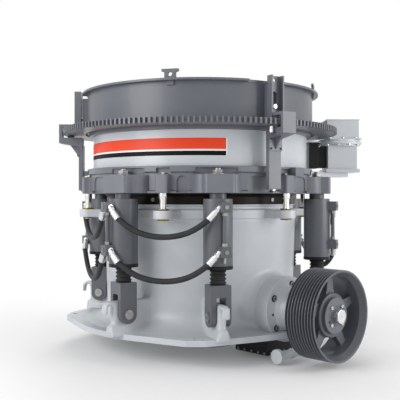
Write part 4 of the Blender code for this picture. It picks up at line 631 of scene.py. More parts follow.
@dataclass
class FrameCasting(Assembly):
    """Main frame: flanged wall, hub, arms, lugs and the boss of the countershaft."""

    body = Body.FRAME
    flange_low: float = 0.200
    flange_high: float = 0.250
    flange_radius: float = 1.195
    corner_reach: float = 1.293
    corner_flank_turn: float = 26.5
    corner_angles: tuple[float, ...] = (45.0, 135.0, 225.0, 315.0)
    corner_hole: float = 0.026
    corner_hole_reach: float = 1.225
    wall_foot: float = 0.900
    wall_top: float = 0.925
    wall_inner: float = 0.800
    wall_height: float = 1.300
    foot_fillet: float = 0.160
    hub_foot: float = 0.420
    hub_top_radius: float = 0.300
    hub_top: float = 0.920
    arm_angles: tuple[float, ...] = (90.0, 180.0, 270.0)
    arm_half: float = 0.080
    arm_top: float = 0.400
    shaft_height: float = 0.430
    boss_radius: float = 0.281
    boss_bore: float = 0.206
    boss_face: float = 1.0777
    voxel: float = 0.0168
    rounds: int = 3

    def wall(self) -> Form:
        """Turned wall with the hollow at its foot, which sinks into the flange."""
        fillet = self.foot_fillet
        foot = self.wall_foot + fillet
        spring = self.flange_high + 0.012 + fillet
        low = self.flange_low + 0.012
        profile = [(self.wall_inner, low), (foot + 0.06, low), (foot + 0.06, self.flange_high - 0.004)]
        profile += arc((foot, spring), fillet, 262, 180)
        profile += [(self.wall_top, self.wall_height - 0.08), (self.wall_top - 0.012, self.wall_height),
                    (self.wall_inner, self.wall_height)]
        return Form.turned(profile)

    def flange_reach(self, turn: float) -> float:
        """Reach of the mounting flange at an angle in degrees, past the circle at its corners."""
        off = min(abs((turn - corner + 180) % 360 - 180) for corner in self.corner_angles)
        if off > self.corner_flank_turn:
            return self.flange_radius
        flank = self.flange_radius / math.cos(math.radians(self.corner_flank_turn - off))
        return min(self.corner_reach / math.cos(math.radians(off)), flank)

    def flange(self) -> Form:
        """Flat mounting flange with its four corners and their bolt holes."""
        steps = 6 * FINE_STEPS
        outline = [tuple(polar(self.flange_reach(360 * step / steps), 360 * step / steps).xy)
                   for step in range(steps)]
        cutters = [Form.rod((0, 0, 0), (0, 0, 1), self.wall_inner + 0.02, FINE_STEPS)]
        for angle in self.corner_angles:
            centre = polar(self.corner_hole_reach, angle)
            cutters.append(Form.rod(centre, centre + Vector((0, 0, 1)), self.corner_hole))
        return Form.plate(outline, self.flange_low, self.flange_high, bevel=0.004).cut(cutters)

    def hub(self) -> list[Form]:
        """Hub with its arms to the wall."""
        hub = Form.turned([(0, 0), (self.hub_foot, 0), (self.hub_foot, 0.18),
                           (self.hub_top_radius + 0.04, 0.60),
                           (self.hub_top_radius, 0.66), (self.hub_top_radius, self.hub_top),
                           (0, self.hub_top)],
                          MEDIUM_STEPS)
        outline = [(0.20, 0.16), (self.wall_inner + 0.04, self.flange_low + 0.01),
                   (self.wall_inner + 0.04, self.arm_top), (0.20, self.arm_top + 0.16)]
        arms = [Form.plate(outline, -self.arm_half, self.arm_half).placed(upright(station(0, 0, angle)))
                for angle in self.arm_angles]
        return [hub] + arms

    def tunnel(self) -> Form:
        """Root of the countershaft's boss, from the hub to a soft fillet on the wall."""
        radius = self.boss_radius - 0.006
        profile = [(0, 0.18), (radius, 0.18), (radius, 0.60), (radius + 0.075, 0.80), (radius + 0.055, 0.885),
                   (radius + 0.018, 0.935), (radius, 0.985), (0, 0.985)]
        return Form.turned(profile, MEDIUM_STEPS).placed(shaft_frame(self.shaft_height))

    def boss(self) -> Form:
        """Machined end of the boss that the countershaft's box bolts to."""
        radius = self.boss_radius
        profile = [(self.boss_bore, 0.70), (radius - 0.004, 0.70), (radius, self.boss_face - 0.02),
                   (radius, self.boss_face), (self.boss_bore, self.boss_face)]
        return Form.turned(profile, FINE_STEPS, soften=0.004).placed(shaft_frame(self.shaft_height))

    def build(self, links: "ReleaseLinks") -> None:
        """Casts the frame in one skin and adds its flat faces.

        Args:
            links: Sizes of the lugs that the rod ends straddle.
        """
        form = self.wall()
        form.with_forms(self.hub() + [self.tunnel()] + links.lugs())
        form.cast(self.voxel, self.rounds)
        self.piece("frame_casting", form, Finish.CAST_LIGHT, ["main_frame", "frame_hub"], crease=45,
                   weighted=False)
        self.piece("mounting_flange", self.flange(), Finish.CAST_LIGHT)
        self.piece("countershaft_boss", self.boss(), Finish.CAST_LIGHT)


@dataclass
class GuideBand(Assembly):
    """Machined band on top of the frame, with the bosses and bushes of the guide pins."""

    body = Body.FRAME
    bottom: float = 1.213
    height: float = 0.072
    radius: float = 0.938
    wall_radius: float = 0.926
    inner: float = 0.802
    top: float = 1.334
    pin_circle: float = 1.085
    pin_angles: tuple[float, ...] = (0, 60, 120, 180, 240, 300)
    boss_radius: float = 0.082
    bush_radius: float = 0.050
    bush_bore: float = 0.0302
    bush_stand: float = 0.013

    def build(self) -> None:
        """Turns the band, adds its bosses and sets the bushes in them."""
        high = self.bottom + self.height
        throat = self.wall_radius - 0.018
        band = Form.turned([(self.inner, 1.18), (self.wall_radius, 1.18), (self.wall_radius, self.bottom),
                            (self.radius, self.bottom), (self.radius, high), (throat, high + 0.012),
                            (throat, self.top - 0.018), (throat + 0.012, self.top - 0.010),
                            (throat + 0.012, self.top), (self.inner, self.top)], soften=0.003)
        outline = [(0.87, -0.11), (0.945, -0.105), (0.985, -self.boss_radius - 0.004)]
        outline += arc((self.pin_circle, 0), self.boss_radius, -90, 90, 20)
        outline += [(0.985, self.boss_radius + 0.004), (0.945, 0.105), (0.87, 0.11)]
        bosses = Form()
        bores = Form()
        bushes = Form()
        for angle in self.pin_angles:
            turn = station(0, 0, angle)
            bosses.with_forms([Form.plate(outline, self.bottom, high, bevel=0.005).placed(turn)])
            place = station(self.pin_circle, angle)
            bores.with_forms([Form.rod((0, 0, 1.1), (0, 0, 1.4), self.bush_radius - 0.006).placed(place)])
            low_edge = self.bottom - self.bush_stand
            high_edge = high + self.bush_stand
            bushes.with_forms([Form.turned(
                [(self.bush_bore, low_edge), (self.bush_radius, low_edge),
                 (self.bush_radius, self.bottom - 0.004),
                 (self.bush_radius - 0.008, self.bottom), (self.bush_radius - 0.008, high),
                 (self.bush_radius, high + 0.004), (self.bush_radius, high_edge),
                 (self.bush_bore, high_edge)],
                SMALL_STEPS, soften=0.002).placed(place)])
        self.piece("guide_band", band.fused([bosses]).cut([bores]), Finish.PLATE_LIGHT)
        self.piece("guide_bushes", bushes, Finish.BRONZE)


@dataclass
class ReleaseLinks(Assembly):
    """Lugs, rod ends, boots and cylinders of the six tramp releases, with their hoses."""

    body = Body.FRAME
    circle: float = 1.13
    places: tuple[float, ...] = (-36.0, -78.5, -157.5, 157.5, 78.5, 36.0)
    facings: tuple[float, ...] = (-24.0, -98.0, -143.5, 143.5, 98.0, 24.0)
    lug_thickness: float = 0.072
    lug_front: float = 0.112
    lug_top: float = 0.525
    lug_root: float = -0.29
    flange_top: float = 0.25
    hook_reach: float = 0.084
    hook_thickness: float = 0.030
    hook_drop: float = 0.120
    pin_height: float = 0.411
    pin_radius: float = 0.040
    fork_half: float = 0.089
    fork_depth: float = 0.080
    fork_slot: float = 0.043
    fork_slot_top: float = 0.580
    fork_top: float = 0.679
    rod_radius: float = 0.045
    boot_radius: float = 0.072
    boot_neck: float = 0.058
    boot_folds: int = 4
    tube_radius: float = 0.1225
    tube_bottom: float = 0.807
    tube_top: float = 1.384
    tube_flange: float = 0.002
    tube_flange_height: float = 0.029
    neck_radius: float = 0.070
    neck_top: float = 1.4297
    bore_depth: float = 0.26
    manifold: float = 0.086
    manifold_sink: float = 0.012
    manifold_heights: Pair = (1.315, 0.955)
    pipe_radius: float = 0.017
    hose_radius: float = 0.024
    hose_lead: float = 0.050
    fitting_length: float = 0.075
    fitting_slope: float = 48.0
    seat_gap: float = 0.0003
    hose_spacing: float = 0.055
    hose_gaps: tuple[tuple[int, int], ...] = ((0, 1), (1, 2), (2, 3), (3, 4), (4, 5))
    hose_sags: tuple[Pair, ...] = ((0.150, 0.150), (0.200, 0.220), (0.150, 0.160), (0.200, 0.220),
                                   (0.150, 0.150))
    hose_shape: tuple[Pair, ...] = ((0.00, 0.00), (0.10, 0.40), (0.22, 0.74), (0.36, 0.94), (0.50, 1.00),
                                    (0.64, 0.94), (0.78, 0.74), (0.90, 0.40), (1.00, 0.00))

    def frame(self, index: int) -> Matrix:
        """Frame of one release, its local X along the way that its rod end faces."""
        return station(self.circle, self.places[index], self.facings[index])

    def lugs(self) -> list[Form]:
        """Six hooked lugs with their flared feet, as loose forms for the casting."""
        half = self.lug_thickness / 2
        inner = (self.hook_reach - self.hook_thickness) / 2
        outer = inner + self.hook_thickness
        centre = (self.lug_front + inner, self.lug_top - outer)
        tip = self.lug_top - self.hook_drop
        foot = self.flange_top - 0.03
        outline = [(self.lug_root, foot), (self.lug_front, foot)]
        outline += arc(centre, inner, 180, 0, 8)
        outline += [(centre[0] + inner, tip), (centre[0] + outer, tip)]
        outline += arc(centre, outer, 0, 90, 8)
        outline += [(self.lug_root, self.lug_top)]
        flare = [(-half - 0.045, foot), (half + 0.045, foot), (half + 0.020, foot + 0.045),
                 (half, foot + 0.10), (-half, foot + 0.10), (-half - 0.020, foot + 0.045)]
        forms = []
        for index in range(len(self.places)):
            frame = self.frame(index)
            forms.append(Form.plate(outline, -half, half).placed(upright(frame)))
            sideways = frame @ Matrix.Rotation(math.pi / 2, 4, "Z") @ Matrix.Rotation(math.pi / 2, 4, "X")
            forms.append(Form.plate(flare, self.lug_root, self.lug_front + 0.035).placed(sideways))
        return forms

    def rod_end(self, index: int) -> None:
        """Forked rod end with its cross pin and the keeper of the pin."""
        frame = self.frame(index)
        half = self.fork_half
        depth = self.fork_depth
        outline = arc((0, self.pin_height), depth, 180, 360, 28) + [(depth, self.fork_top),
                                                                    (-depth, self.fork_top)]
        fork = Form.plate(outline, -half, half, bevel=0.005).placed(upright(frame))
        slot = Form.block((-half - 0.02, -self.fork_slot, self.pin_height - half - 0.02),
                          (half + 0.02, self.fork_slot, self.fork_slot_top), bevel=0.012).placed(frame)
        rim = Form()
        for side in (-1, 1):
            rim.with_forms([Form.rod((0, side * (half - 0.010), self.pin_height),
                                     (0, side * (half + 0.004), self.pin_height), self.pin_radius + 0.012,
                                     MEDIUM_STEPS, bevel=0.002)])
        fork.cut([slot]).fused([rim.placed(frame)])
        self.piece(f"rod_end_{index + 1}", fork, Finish.CYLINDER_DARK, [f"clevis_{index + 1}"])
        pin = Form.rod((0, -half - 0.012, self.pin_height), (0, half + 0.012, self.pin_height),
                       self.pin_radius, MEDIUM_STEPS, bevel=0.004)
        screws = [hex_bolt(frame @ Matrix.Translation((0, side * (half + 0.012), self.pin_height))
                           @ Matrix.Rotation(-side * math.pi / 2, 4, "X"), 0.010, 0.006) for side in (-1, 1)]
        self.piece(f"cross_pin_{index + 1}", pin.placed(frame).with_forms(screws), Finish.DULL_STEEL)
        axis = polar(self.circle, self.places[index])
        top = self.tube_bottom + self.bore_depth - 0.04
        piston = Form.rod(axis + Vector((0, 0, self.fork_top - 0.01)), axis + Vector((0, 0, top)),
                          self.rod_radius,
                          MEDIUM_STEPS)
        self.piece(f"piston_rod_{index + 1}", piston, Finish.GROUND_STEEL)

    def boot(self, index: int) -> None:
        """Folded boot between the rod end and the cylinder."""
        low = self.fork_top + self.seat_gap
        high = self.tube_bottom - self.seat_gap
        pitch = (high - low) / self.boot_folds
        bore = self.rod_radius + 0.0012
        profile = [(bore, low), (self.boot_neck + 0.010, low)]
        for fold in range(self.boot_folds):
            base = low + fold * pitch
            profile += [(self.boot_neck, base + pitch * 0.08),
                        (self.boot_radius - 0.003, base + pitch * 0.46),
                        (self.boot_radius - 0.003, base + pitch * 0.54),
                        (self.boot_neck, base + pitch * 0.92)]
        profile += [(self.boot_neck + 0.010, high), (bore, high)]
        form = Form.turned(profile, MEDIUM_STEPS, soften=0.0025)
        form.placed(Matrix.Translation(polar(self.circle, self.places[index])))
        self.piece(f"bellows_{index + 1}", form, Finish.RUBBER, [f"boot_{index + 1}"], crease=60,
                   weighted=False)

    def cylinder(self, index: int) -> None:
        """Cylinder tube with its neck, its black gland and its two manifold blocks."""
        place = Matrix.Translation(polar(self.circle, self.places[index]))
        frame = self.frame(index)
        flange_top = self.tube_bottom + self.tube_flange_height
        tube = Form.turned([(0, flange_top), (self.tube_radius, flange_top),
                            (self.tube_radius, self.tube_top),
                            (0, self.tube_top)], MEDIUM_STEPS, soften=0.004).placed(place)
        near = self.tube_radius - self.manifold_sink
        half = self.manifold / 2
        blocks = [Form.block((near, -half, height - half), (near + self.manifold, half, height + half),
                             bevel=0.004).placed(frame) for height in self.manifold_heights]
        blocks.append(Form.rod((0, 0, self.tube_top - 0.01), (0, 0, self.neck_top), self.neck_radius,
                               MEDIUM_STEPS, bevel=0.003).placed(place))
        low, high = sorted(self.manifold_heights)
        strap = Form.block((near - 0.01, -0.030, low), (near + 0.016, 0.030, high), bevel=0.004).placed(frame)
        self.piece(f"tube_{index + 1}", tube.fused([strap]).fused(blocks), Finish.CYLINDER_DARK,
                   [f"cylinder_{index + 1}"], body=Body.RING)
        bore = self.rod_radius + 0.0012
        outer = self.tube_radius + self.tube_flange
        gland = Form.turned([(bore, self.tube_bottom), (outer, self.tube_bottom), (outer, flange_top),
                             (bore, flange_top)], MEDIUM_STEPS, soften=0.003).placed(place)
        self.piece(f"gland_{index + 1}", gland, Finish.BLACK, body=Body.RING)
        middle = near + half
        pipe = Form.rod((middle, 0, low + half), (middle, 0, high - half), self.pipe_radius, SMALL_STEPS)
        nuts = [Form.rod((middle, 0, end), (middle, 0, end + side * 0.026), 0.023, 6, bevel=0.002)
                for end, side in ((low + half, 1), (high - half, -1))]
        drip = Form.rod((middle, 0, low - half), (middle, 0, low - half - 0.050), 0.011, SMALL_STEPS,
                        bevel=0.002)
        plugs = [socket_screw(frame @ Matrix.Translation((near + self.manifold, 0, height))
                              @ Matrix.Rotation(math.pi / 2, 4, "Y"), 0.017, 0.007)
                 for height in self.manifold_heights]
        self.piece(f"pipe_{index + 1}", pipe.placed(frame), Finish.CYLINDER_DARK, body=Body.RING)
        self.piece(f"pipe_nuts_{index + 1}",
                   Form().with_forms([form.placed(frame) for form in nuts + [drip]] + plugs),
                   Finish.DULL_STEEL, body=Body.RING)

    def manifold_centre(self, index: int, height: float) -> Vector:
        """Centre of a manifold block."""
        return self.frame(index) @ Vector((self.tube_radius + self.manifold / 2 - self.manifold_sink, 0,
                                           height))

    def hose_end(self, index: int, towards: int, height: float) -> tuple[Vector, Vector, Vector]:
        """Port on a manifold's side and the way its fitting points.

        Args:
            index: Cylinder whose manifold it is.
            towards: Neighbouring cylinder that the hose runs to.
            height: Height of the manifold.

        Returns:
            The port, the fitting's direction and the port's own direction.
        """
        facing = math.radians(self.facings[index])
        centre = self.manifold_centre(index, height)
        side = Vector((-math.sin(facing), math.cos(facing), 0))
        way = self.manifold_centre(towards, height) - centre
        if side.dot(way) < 0:
            side = -side
        port = centre + side * self.manifold / 2
        slope = math.radians(self.fitting_slope)
        along = (side + way.normalized()).normalized()
        return port, along * math.cos(slope) - Vector((0, 0, 1)) * math.sin(slope), side

    def fitting(self, index: int, towards: int, height: float) -> list[Form]:
        """Plated elbow, nut and crimped ferrule of one hose end."""
        port, way, side = self.hose_end(index, towards, height)
        length = self.fitting_length
        elbow = Form.rod(port - side * 0.006, port + side * 0.014, 0.025, 6, bevel=0.002)
        stem = Form.rod(port, port + way * length * 0.34, 0.022, SMALL_STEPS, bevel=0.002)
        nut = Form.rod(port + way * length * 0.28, port + way * length * 0.62, 0.028, 6, bevel=0.002)
        collar = Form.rod(port + way * length * 0.60, port + way * length * 0.72, 0.0215, SMALL_STEPS)
        ferrule = Form.rod(port + way * length * 0.72, port + way * (length + 0.060), 0.0300, SMALL_STEPS,
                           bevel=0.003)
        return [elbow, stem, nut, collar, ferrule]

    def fittings(self) -> None:
        """Hose ends of every cylinder."""
        for index in range(len(self.places)):
            forms = []
            for height in self.manifold_heights:
                for ends in self.hose_gaps:
                    if index in ends:
                        towards = ends[0] if ends[1] == index else ends[1]
                        forms += self.fitting(index, towards, height)
            self.piece(f"hose_fittings_{index + 1}", Form().with_forms(forms), Finish.ZINC, body=Body.RING)

    def route(self, first: int, second: int, height: float, sag: float) -> list[Vector]:
        """Points of one hanging hose on a smooth curve, from fitting to fitting.

        Args:
            first: Cylinder at its start.
            second: Cylinder at its end.
            height: Height of both manifolds.
            sag: Depth of the hang below the leads.

        Returns:
            The points in order.
        """
        start, start_way, _ = self.hose_end(first, second, height)
        end, end_way, _ = self.hose_end(second, first, height)
        start = start + start_way * (self.fitting_length + self.seat_gap)
        end = end + end_way * (self.fitting_length + self.seat_gap)
        first_lead = start + start_way * self.hose_lead
        last_lead = end + end_way * self.hose_lead
        knots = [first_lead + (last_lead - first_lead) * share - Vector((0, 0, sag * drop))
                 for share, drop in self.hose_shape]
        return [start] + smooth_points(knots, self.hose_spacing) + [end]

    def hoses(self) -> None:
        """Ten hanging hoses, drawn as curves from fitting to fitting."""
        for number, ((first, second), sags) in enumerate(zip(self.hose_gaps, self.hose_sags), start=1):
            for level, height, sag in zip(("upper", "lower"), self.manifold_heights, sags):
                points = self.route(first, second, height, sag)
                curve = bpy.data.curves.new(f"{level}_line_{number}", "CURVE")
                curve.dimensions = "3D"
                curve.bevel_depth = self.hose_radius
                curve.bevel_resolution = 6
                curve.use_fill_caps = True
                spline = curve.splines.new("POLY")
                spline.points.add(len(points) - 1)
                for target, point in zip(spline.points, points):
                    target.co = (*point, 1.0)
                spline.use_smooth = True
                item = bpy.data.objects.new(curve.name, curve)
                bpy.context.scene.collection.objects.link(item)
                curve.materials.append(Finish.HOSE.material)
                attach(item, Body.RING.value)
                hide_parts(f"{level}_hose_{number}")

    def build(self) -> None:
        """Makes the six releases and their hoses."""
        for index in range(len(self.places)):
            self.rod_end(index)
            self.boot(index)
            self.cylinder(index)
        self.fittings()
        self.hoses()


def smooth_points(knots: Sequence[Vector], spacing: float) -> list[Vector]:
    """Points about one spacing apart on a Catmull-Rom curve through the knots.

    Args:
        knots: Points that the curve passes.
        spacing: Distance wanted between points.

    Returns:
        The points in order.
    """
    fine: list[Vector] = []
    steps = 12
    for i in range(len(knots) - 1):
        before = knots[max(i - 1, 0)]
        after = knots[min(i + 2, len(knots) - 1)]
        for j in range(steps):
            t = j / steps
            fine.append(0.5 * (2 * knots[i] + (knots[i + 1] - before) * t
                               + (2 * before - 5 * knots[i] + 4 * knots[i + 1] - after) * t ** 2
                               + (3 * knots[i] - before - 3 * knots[i + 1] + after) * t ** 3))
    fine.append(knots[-1])
    travelled = [0.0]
    for a, b in zip(fine, fine[1:]):
        travelled.append(travelled[-1] + (b - a).length)
    count = max(2, round(travelled[-1] / spacing))
    points = []
    place = 0
    for k in range(count + 1):
        wanted = travelled[-1] * k / count
        while place < len(fine) - 2 and travelled[place + 1] < wanted:
            place += 1
        share = (wanted - travelled[place]) / (travelled[place + 1] - travelled[place])
        points.append(fine[place].lerp(fine[place + 1], share))
    return points


@dataclass
class AdjustmentRing(Assembly):
    """Cast ring with its ears, arched pockets, nuts, guide pins and oiled skirt."""

    body = Body.RING
    radius: float = 1.065
    bottom: float = 1.430
    top: float = 1.660
    lip: float = 0.022
    band_radius: float = 1.088
    band_bottom: float = 1.600
    skirt_bottom: float = 1.3343
    skirt_radius: float = 0.905
    skirt_inner: float = 0.845
    bore: float = 1.0395
    shelf: float = 1.500
    ear_top: float = 1.586
    ear_circle: float = 1.13
    ear_angles: tuple[float, ...] = (-36.0, -78.5, -157.5, 157.5, 78.5, 36.0)
    ear_reach: float = 0.130
    ear_face: float = 0.125
    ear_half: float = 0.195
    pin_angles: tuple[float, ...] = (0, 60, 120, 180, 240, 300)
    pin_circle: float = 1.085
    pin_radius: float = 0.029
    pin_end: float = 1.196
    pin_ear: float = 0.056
    pin_ear_reach: float = 0.055
    nut_radius: float = 0.048
    nut_height: float = 0.050
    narrow_pockets: tuple[float, ...] = (51.5, -51.5, 172.3, -172.3)
    wide_pockets: tuple[float, ...] = (15.0, -15.0, 102.5, -102.5, 135.0, -135.0)
    narrow_half: float = 0.047
    wide_half: float = 0.120
    pocket_top: float = 1.578
    pocket_depth: float = 0.018
    plug_radius: float = 0.018
    plug_height: float = 1.375
    plug_start: float = 1.7
    plug_count: int = 5

    def core(self) -> Form:
        """Turned ring between the ears."""
        profile = [(self.radius, self.band_bottom), (self.radius, self.bottom + 0.026),
                   (self.radius + self.lip, self.bottom + 0.016), (self.radius + self.lip, self.bottom),
                   (self.skirt_radius + 0.02, self.bottom), (self.skirt_radius + 0.02, self.shelf - 0.02),
                   (self.skirt_inner + 0.055, self.shelf), (self.bore, self.shelf), (self.bore, self.top),
                   (self.band_radius, self.top), (self.band_radius, self.band_bottom + 0.010)]
        return Form.turned(profile, soften=0.004)

    def ears(self) -> Form:
        """Six large ears over the cylinders and six small ones over the guide pins."""
        root = self.radius - self.ear_circle - 0.06
        face = self.ear_face
        reach = self.ear_reach
        large = [(root, -self.ear_half - 0.02), (-0.022, -self.ear_half), (0.020, -face - 0.035),
                 (0.035, -face - 0.012), (reach - 0.016, -face), (reach, -face + 0.016),
                 (reach, face - 0.016),
                 (reach - 0.016, face), (0.035, face + 0.012), (0.020, face + 0.035), (-0.022, self.ear_half),
                 (root, self.ear_half + 0.02)]
        small_root = self.radius - self.pin_circle - 0.05
        small = [(small_root, -self.pin_ear - 0.02), (-0.008, -self.pin_ear - 0.006), (0.006, -self.pin_ear)]
        small += arc((self.pin_ear_reach - 0.018, -self.pin_ear + 0.018), 0.018, -90, 0, 5)
        small += arc((self.pin_ear_reach - 0.018, self.pin_ear - 0.018), 0.018, 0, 90, 5)
        small += [(0.006, self.pin_ear), (-0.008, self.pin_ear + 0.006), (small_root, self.pin_ear + 0.02)]
        form = Form()
        for angle in self.ear_angles:
            ear = Form.plate(softened(large, 0.010, 3), self.bottom, self.ear_top, bevel=0.005)
            form.with_forms([ear.placed(station(self.ear_circle, angle))])
        for angle in self.pin_angles:
            ear = Form.plate(small, self.bottom, self.ear_top, bevel=0.004)
            form.with_forms([ear.placed(station(self.pin_circle, angle))])
        return form

    def arched(self, half: float, radius: float) -> list[Pair]:
        """Outline of a pocket with round upper corners, from the ring's foot upwards."""
        low = self.bottom + 0.006
        high = self.pocket_top
        outline = [(-half, low), (half, low)]
        outline += arc((half - radius, high - radius), radius, 0, 90)
        outline += arc((radius - half, high - radius), radius, 90, 180)
        return outline

    def pockets(self) -> Form:
        """Arched pockets between the ears."""
        form = Form()
        for half, radius, angles in ((self.narrow_half, self.narrow_half - 0.001, self.narrow_pockets),
                                     (self.wide_half, 0.055, self.wide_pockets)):
            for angle in angles:
                side = station(0, 0, angle) @ Matrix.Rotation(math.pi / 2, 4, "Z")
                outward = side @ Matrix.Rotation(math.pi / 2, 4, "X")
                pocket = Form.plate(self.arched(half, radius), self.radius - self.pocket_depth,
                                    self.radius + 0.08, bevel=0.006)
                form.with_forms([pocket.placed(outward)])
        return form

    def recesses(self) -> Form:
        """Flats above the ears, where the nuts are turned."""
        form = Form()
        spots = [(angle, self.ear_circle, 0.180) for angle in self.ear_angles]
        spots += [(angle, self.pin_circle, 0.062) for angle in self.pin_angles]
        for angle, _, half in spots:
            slot = Form.block((self.radius - 0.006, -half, self.ear_top + 0.001),
                              (self.radius + 0.20, half, self.top - 0.016), bevel=0.006)
            form.with_forms([slot.placed(station(0, 0, angle))])
        return form

    def build(self) -> None:
        """Makes the casting and everything that is bolted to it."""
        ring = self.core().fused([self.ears()]).cut([self.pockets()]).cut([self.recesses()])
        self.piece("adjustment_ring_casting", ring, Finish.CAST_DARK, ["adjustment_ring"])
        skirt = Form.turned([(self.skirt_inner, self.skirt_bottom), (self.skirt_radius, self.skirt_bottom),
                             (self.skirt_radius, self.bottom - 0.028),
                             (self.skirt_radius + 0.025, self.bottom - 0.002),
                             (self.skirt_inner, self.bottom - 0.002)], soften=0.002)
        self.piece("ring_skirt", skirt, Finish.SKIRT)
        plugs = Form()
        edge = self.skirt_radius
        for place in ring_of(self.plug_count, edge - 0.004, self.plug_start):
            outwards = Matrix.Translation((0, 0, self.plug_height)) @ place @ Matrix.Rotation(math.pi / 2, 4,
                                                                                              "Y")
            plugs.with_forms([Form.rod((0, 0, 0), (0, 0, 0.010), self.plug_radius, SMALL_STEPS,
                                       bevel=0.002).placed(outwards)])
        self.piece("skirt_plugs", plugs, Finish.DULL_STEEL)
        nuts = Form()
        for angle in self.ear_angles:
            place = station(self.ear_circle, angle, height=self.ear_top)
            nuts.with_forms([hex_bolt(place, self.nut_radius, self.nut_height * 0.62, 0.006)])
            stud = Form.rod((0, 0, 0), (0, 0, self.nut_height), self.nut_radius * 0.52, SMALL_STEPS,
                            bevel=0.003)
            nuts.with_forms([stud.placed(place)])
        for angle in self.pin_angles:
            place = station(self.pin_circle - 0.010, angle, height=self.ear_top)
            nuts.with_forms([hex_bolt(place, 0.021, 0.016, 0.003)])
        self.piece("ring_nuts", nuts, Finish.DULL_STEEL)
        pins = Form()
        for angle in self.pin_angles:
            profile = [(0, self.pin_end), (self.pin_radius - 0.003, self.pin_end),
                       (self.pin_radius, self.pin_end + 0.004), (self.pin_radius, 1.375),
                       (self.pin_radius + 0.006, 1.385), (self.pin_radius + 0.006, 1.429), (0, 1.429)]
            pins.with_forms([Form.turned(profile, SMALL_STEPS).placed(station(self.pin_circle, angle))])
        self.piece("guide_pins", pins, Finish.GROUND_STEEL)


@dataclass
class Bowl(Assembly):
    """Bowl drum with its side stripe, its cap and its liner."""

    body = Body.BOWL
    radius: float = 1.033
    top: float = 1.967
    shelf: float = 1.5003
    chest: float = 0.833
    lip: float = 1.235
    lip_radius: float = 0.785
    throat: float = 0.610
    throat_top: float = 1.720
    cap_radius: float = 1.075
    cap_height: float = 0.033
    cap_inner: float = 0.960
    liner_top: float = 0.560
    liner_foot: float = 0.715
    liner_bottom: float = 1.215
    stripe_start: float = -133.2
    stripe_end: float = -30.7
    stripe_orange: Pair = (1.800, 1.894)
    stripe_black: Pair = (1.747, 1.785)
    stripe_edge: float = 0.010

    def band(self, low: float, high: float, inset: float, layer: int) -> Form:
        """Thin curved panel of the side stripe.

        Args:
            low: Height of its lower edge.
            high: Height of its upper edge.
            inset: Distance in from the stripe's ends.
            layer: Layers of vinyl beneath it.

        Returns:
            The panel.
        """
        form = Form()
        skin = SKIN / 2
        inner = self.radius + skin * layer * 0.8 - skin
        outer = self.radius + skin * (layer + 1)
        turn = math.degrees(inset / self.radius)
        start = math.radians(self.stripe_start + turn)
        end = math.radians(self.stripe_end - turn)
        corners = [(inner, low), (outer, low), (outer, high), (inner, high)]
        face = form.mesh.faces.new([form.mesh.verts.new((radius, 0, height)) for radius, height in corners])
        bmesh.ops.rotate(form.mesh, verts=form.mesh.verts, cent=(0, 0, 0),
                         matrix=Matrix.Rotation(start, 3, "Z"))
        bmesh.ops.spin(form.mesh, geom=[face], cent=(0, 0, 0), axis=(0, 0, 1), angle=end - start,
                       steps=FINE_STEPS // 2)
        return form.tidy()

    def build(self) -> None:
        """Makes the drum, its stripe, the cap and the liner."""
        drum = Form.turned([(self.radius, self.top), (self.radius, self.shelf),
                            (self.chest + 0.055, self.shelf),
                            (self.chest, self.shelf - 0.04), (self.lip_radius, 1.364),
                            (self.lip_radius, self.lip),
                            (self.throat + 0.16, self.lip), (self.throat + 0.001, self.throat_top - 0.05),
                            (self.throat + 0.02, self.throat_top), (self.cap_inner, self.top)], soften=0.003)
        self.piece("bowl_drum", drum, Finish.PLATE_LIGHT, ["bowl"])
        orange_low, orange_high = self.stripe_orange
        black_low, black_high = self.stripe_black
        edge = self.stripe_edge
        self.piece("stripe_backing", self.band(black_low + 0.001, orange_high - 0.001, 0.0, 0),
                   Finish.WHITE_VINYL, weighted=False)
        self.piece("stripe_orange", self.band(orange_low, orange_high, edge, 1), Finish.ORANGE_VINYL,
                   weighted=False)
        self.piece("stripe_black", self.band(black_low, black_high, edge, 1), Finish.BLACK_VINYL,
                   weighted=False)
        foot = self.top + 0.0003
        cap = Form.turned([(self.cap_radius, foot + self.cap_height), (self.cap_radius, foot),
                           (self.cap_inner, foot),
                           (self.cap_inner, foot + self.cap_height)], soften=0.004)
        self.piece("bowl_cap", cap, Finish.PLATE_DARK, ["adjustment_cap"])
        liner = Form.turned([(self.throat + 0.159, self.lip), (self.liner_foot, self.liner_bottom),
                             (self.liner_foot - 0.055, self.liner_bottom + 0.13),
                             (self.liner_top, self.throat_top - 0.10),
                             (self.liner_top - 0.01, self.throat_top), (self.throat - 0.005, self.throat_top),
                             (self.throat, self.throat_top - 0.05)], soften=0.008)
        self.piece("liner", liner, Finish.MANGANESE, ["bowl_liner"])


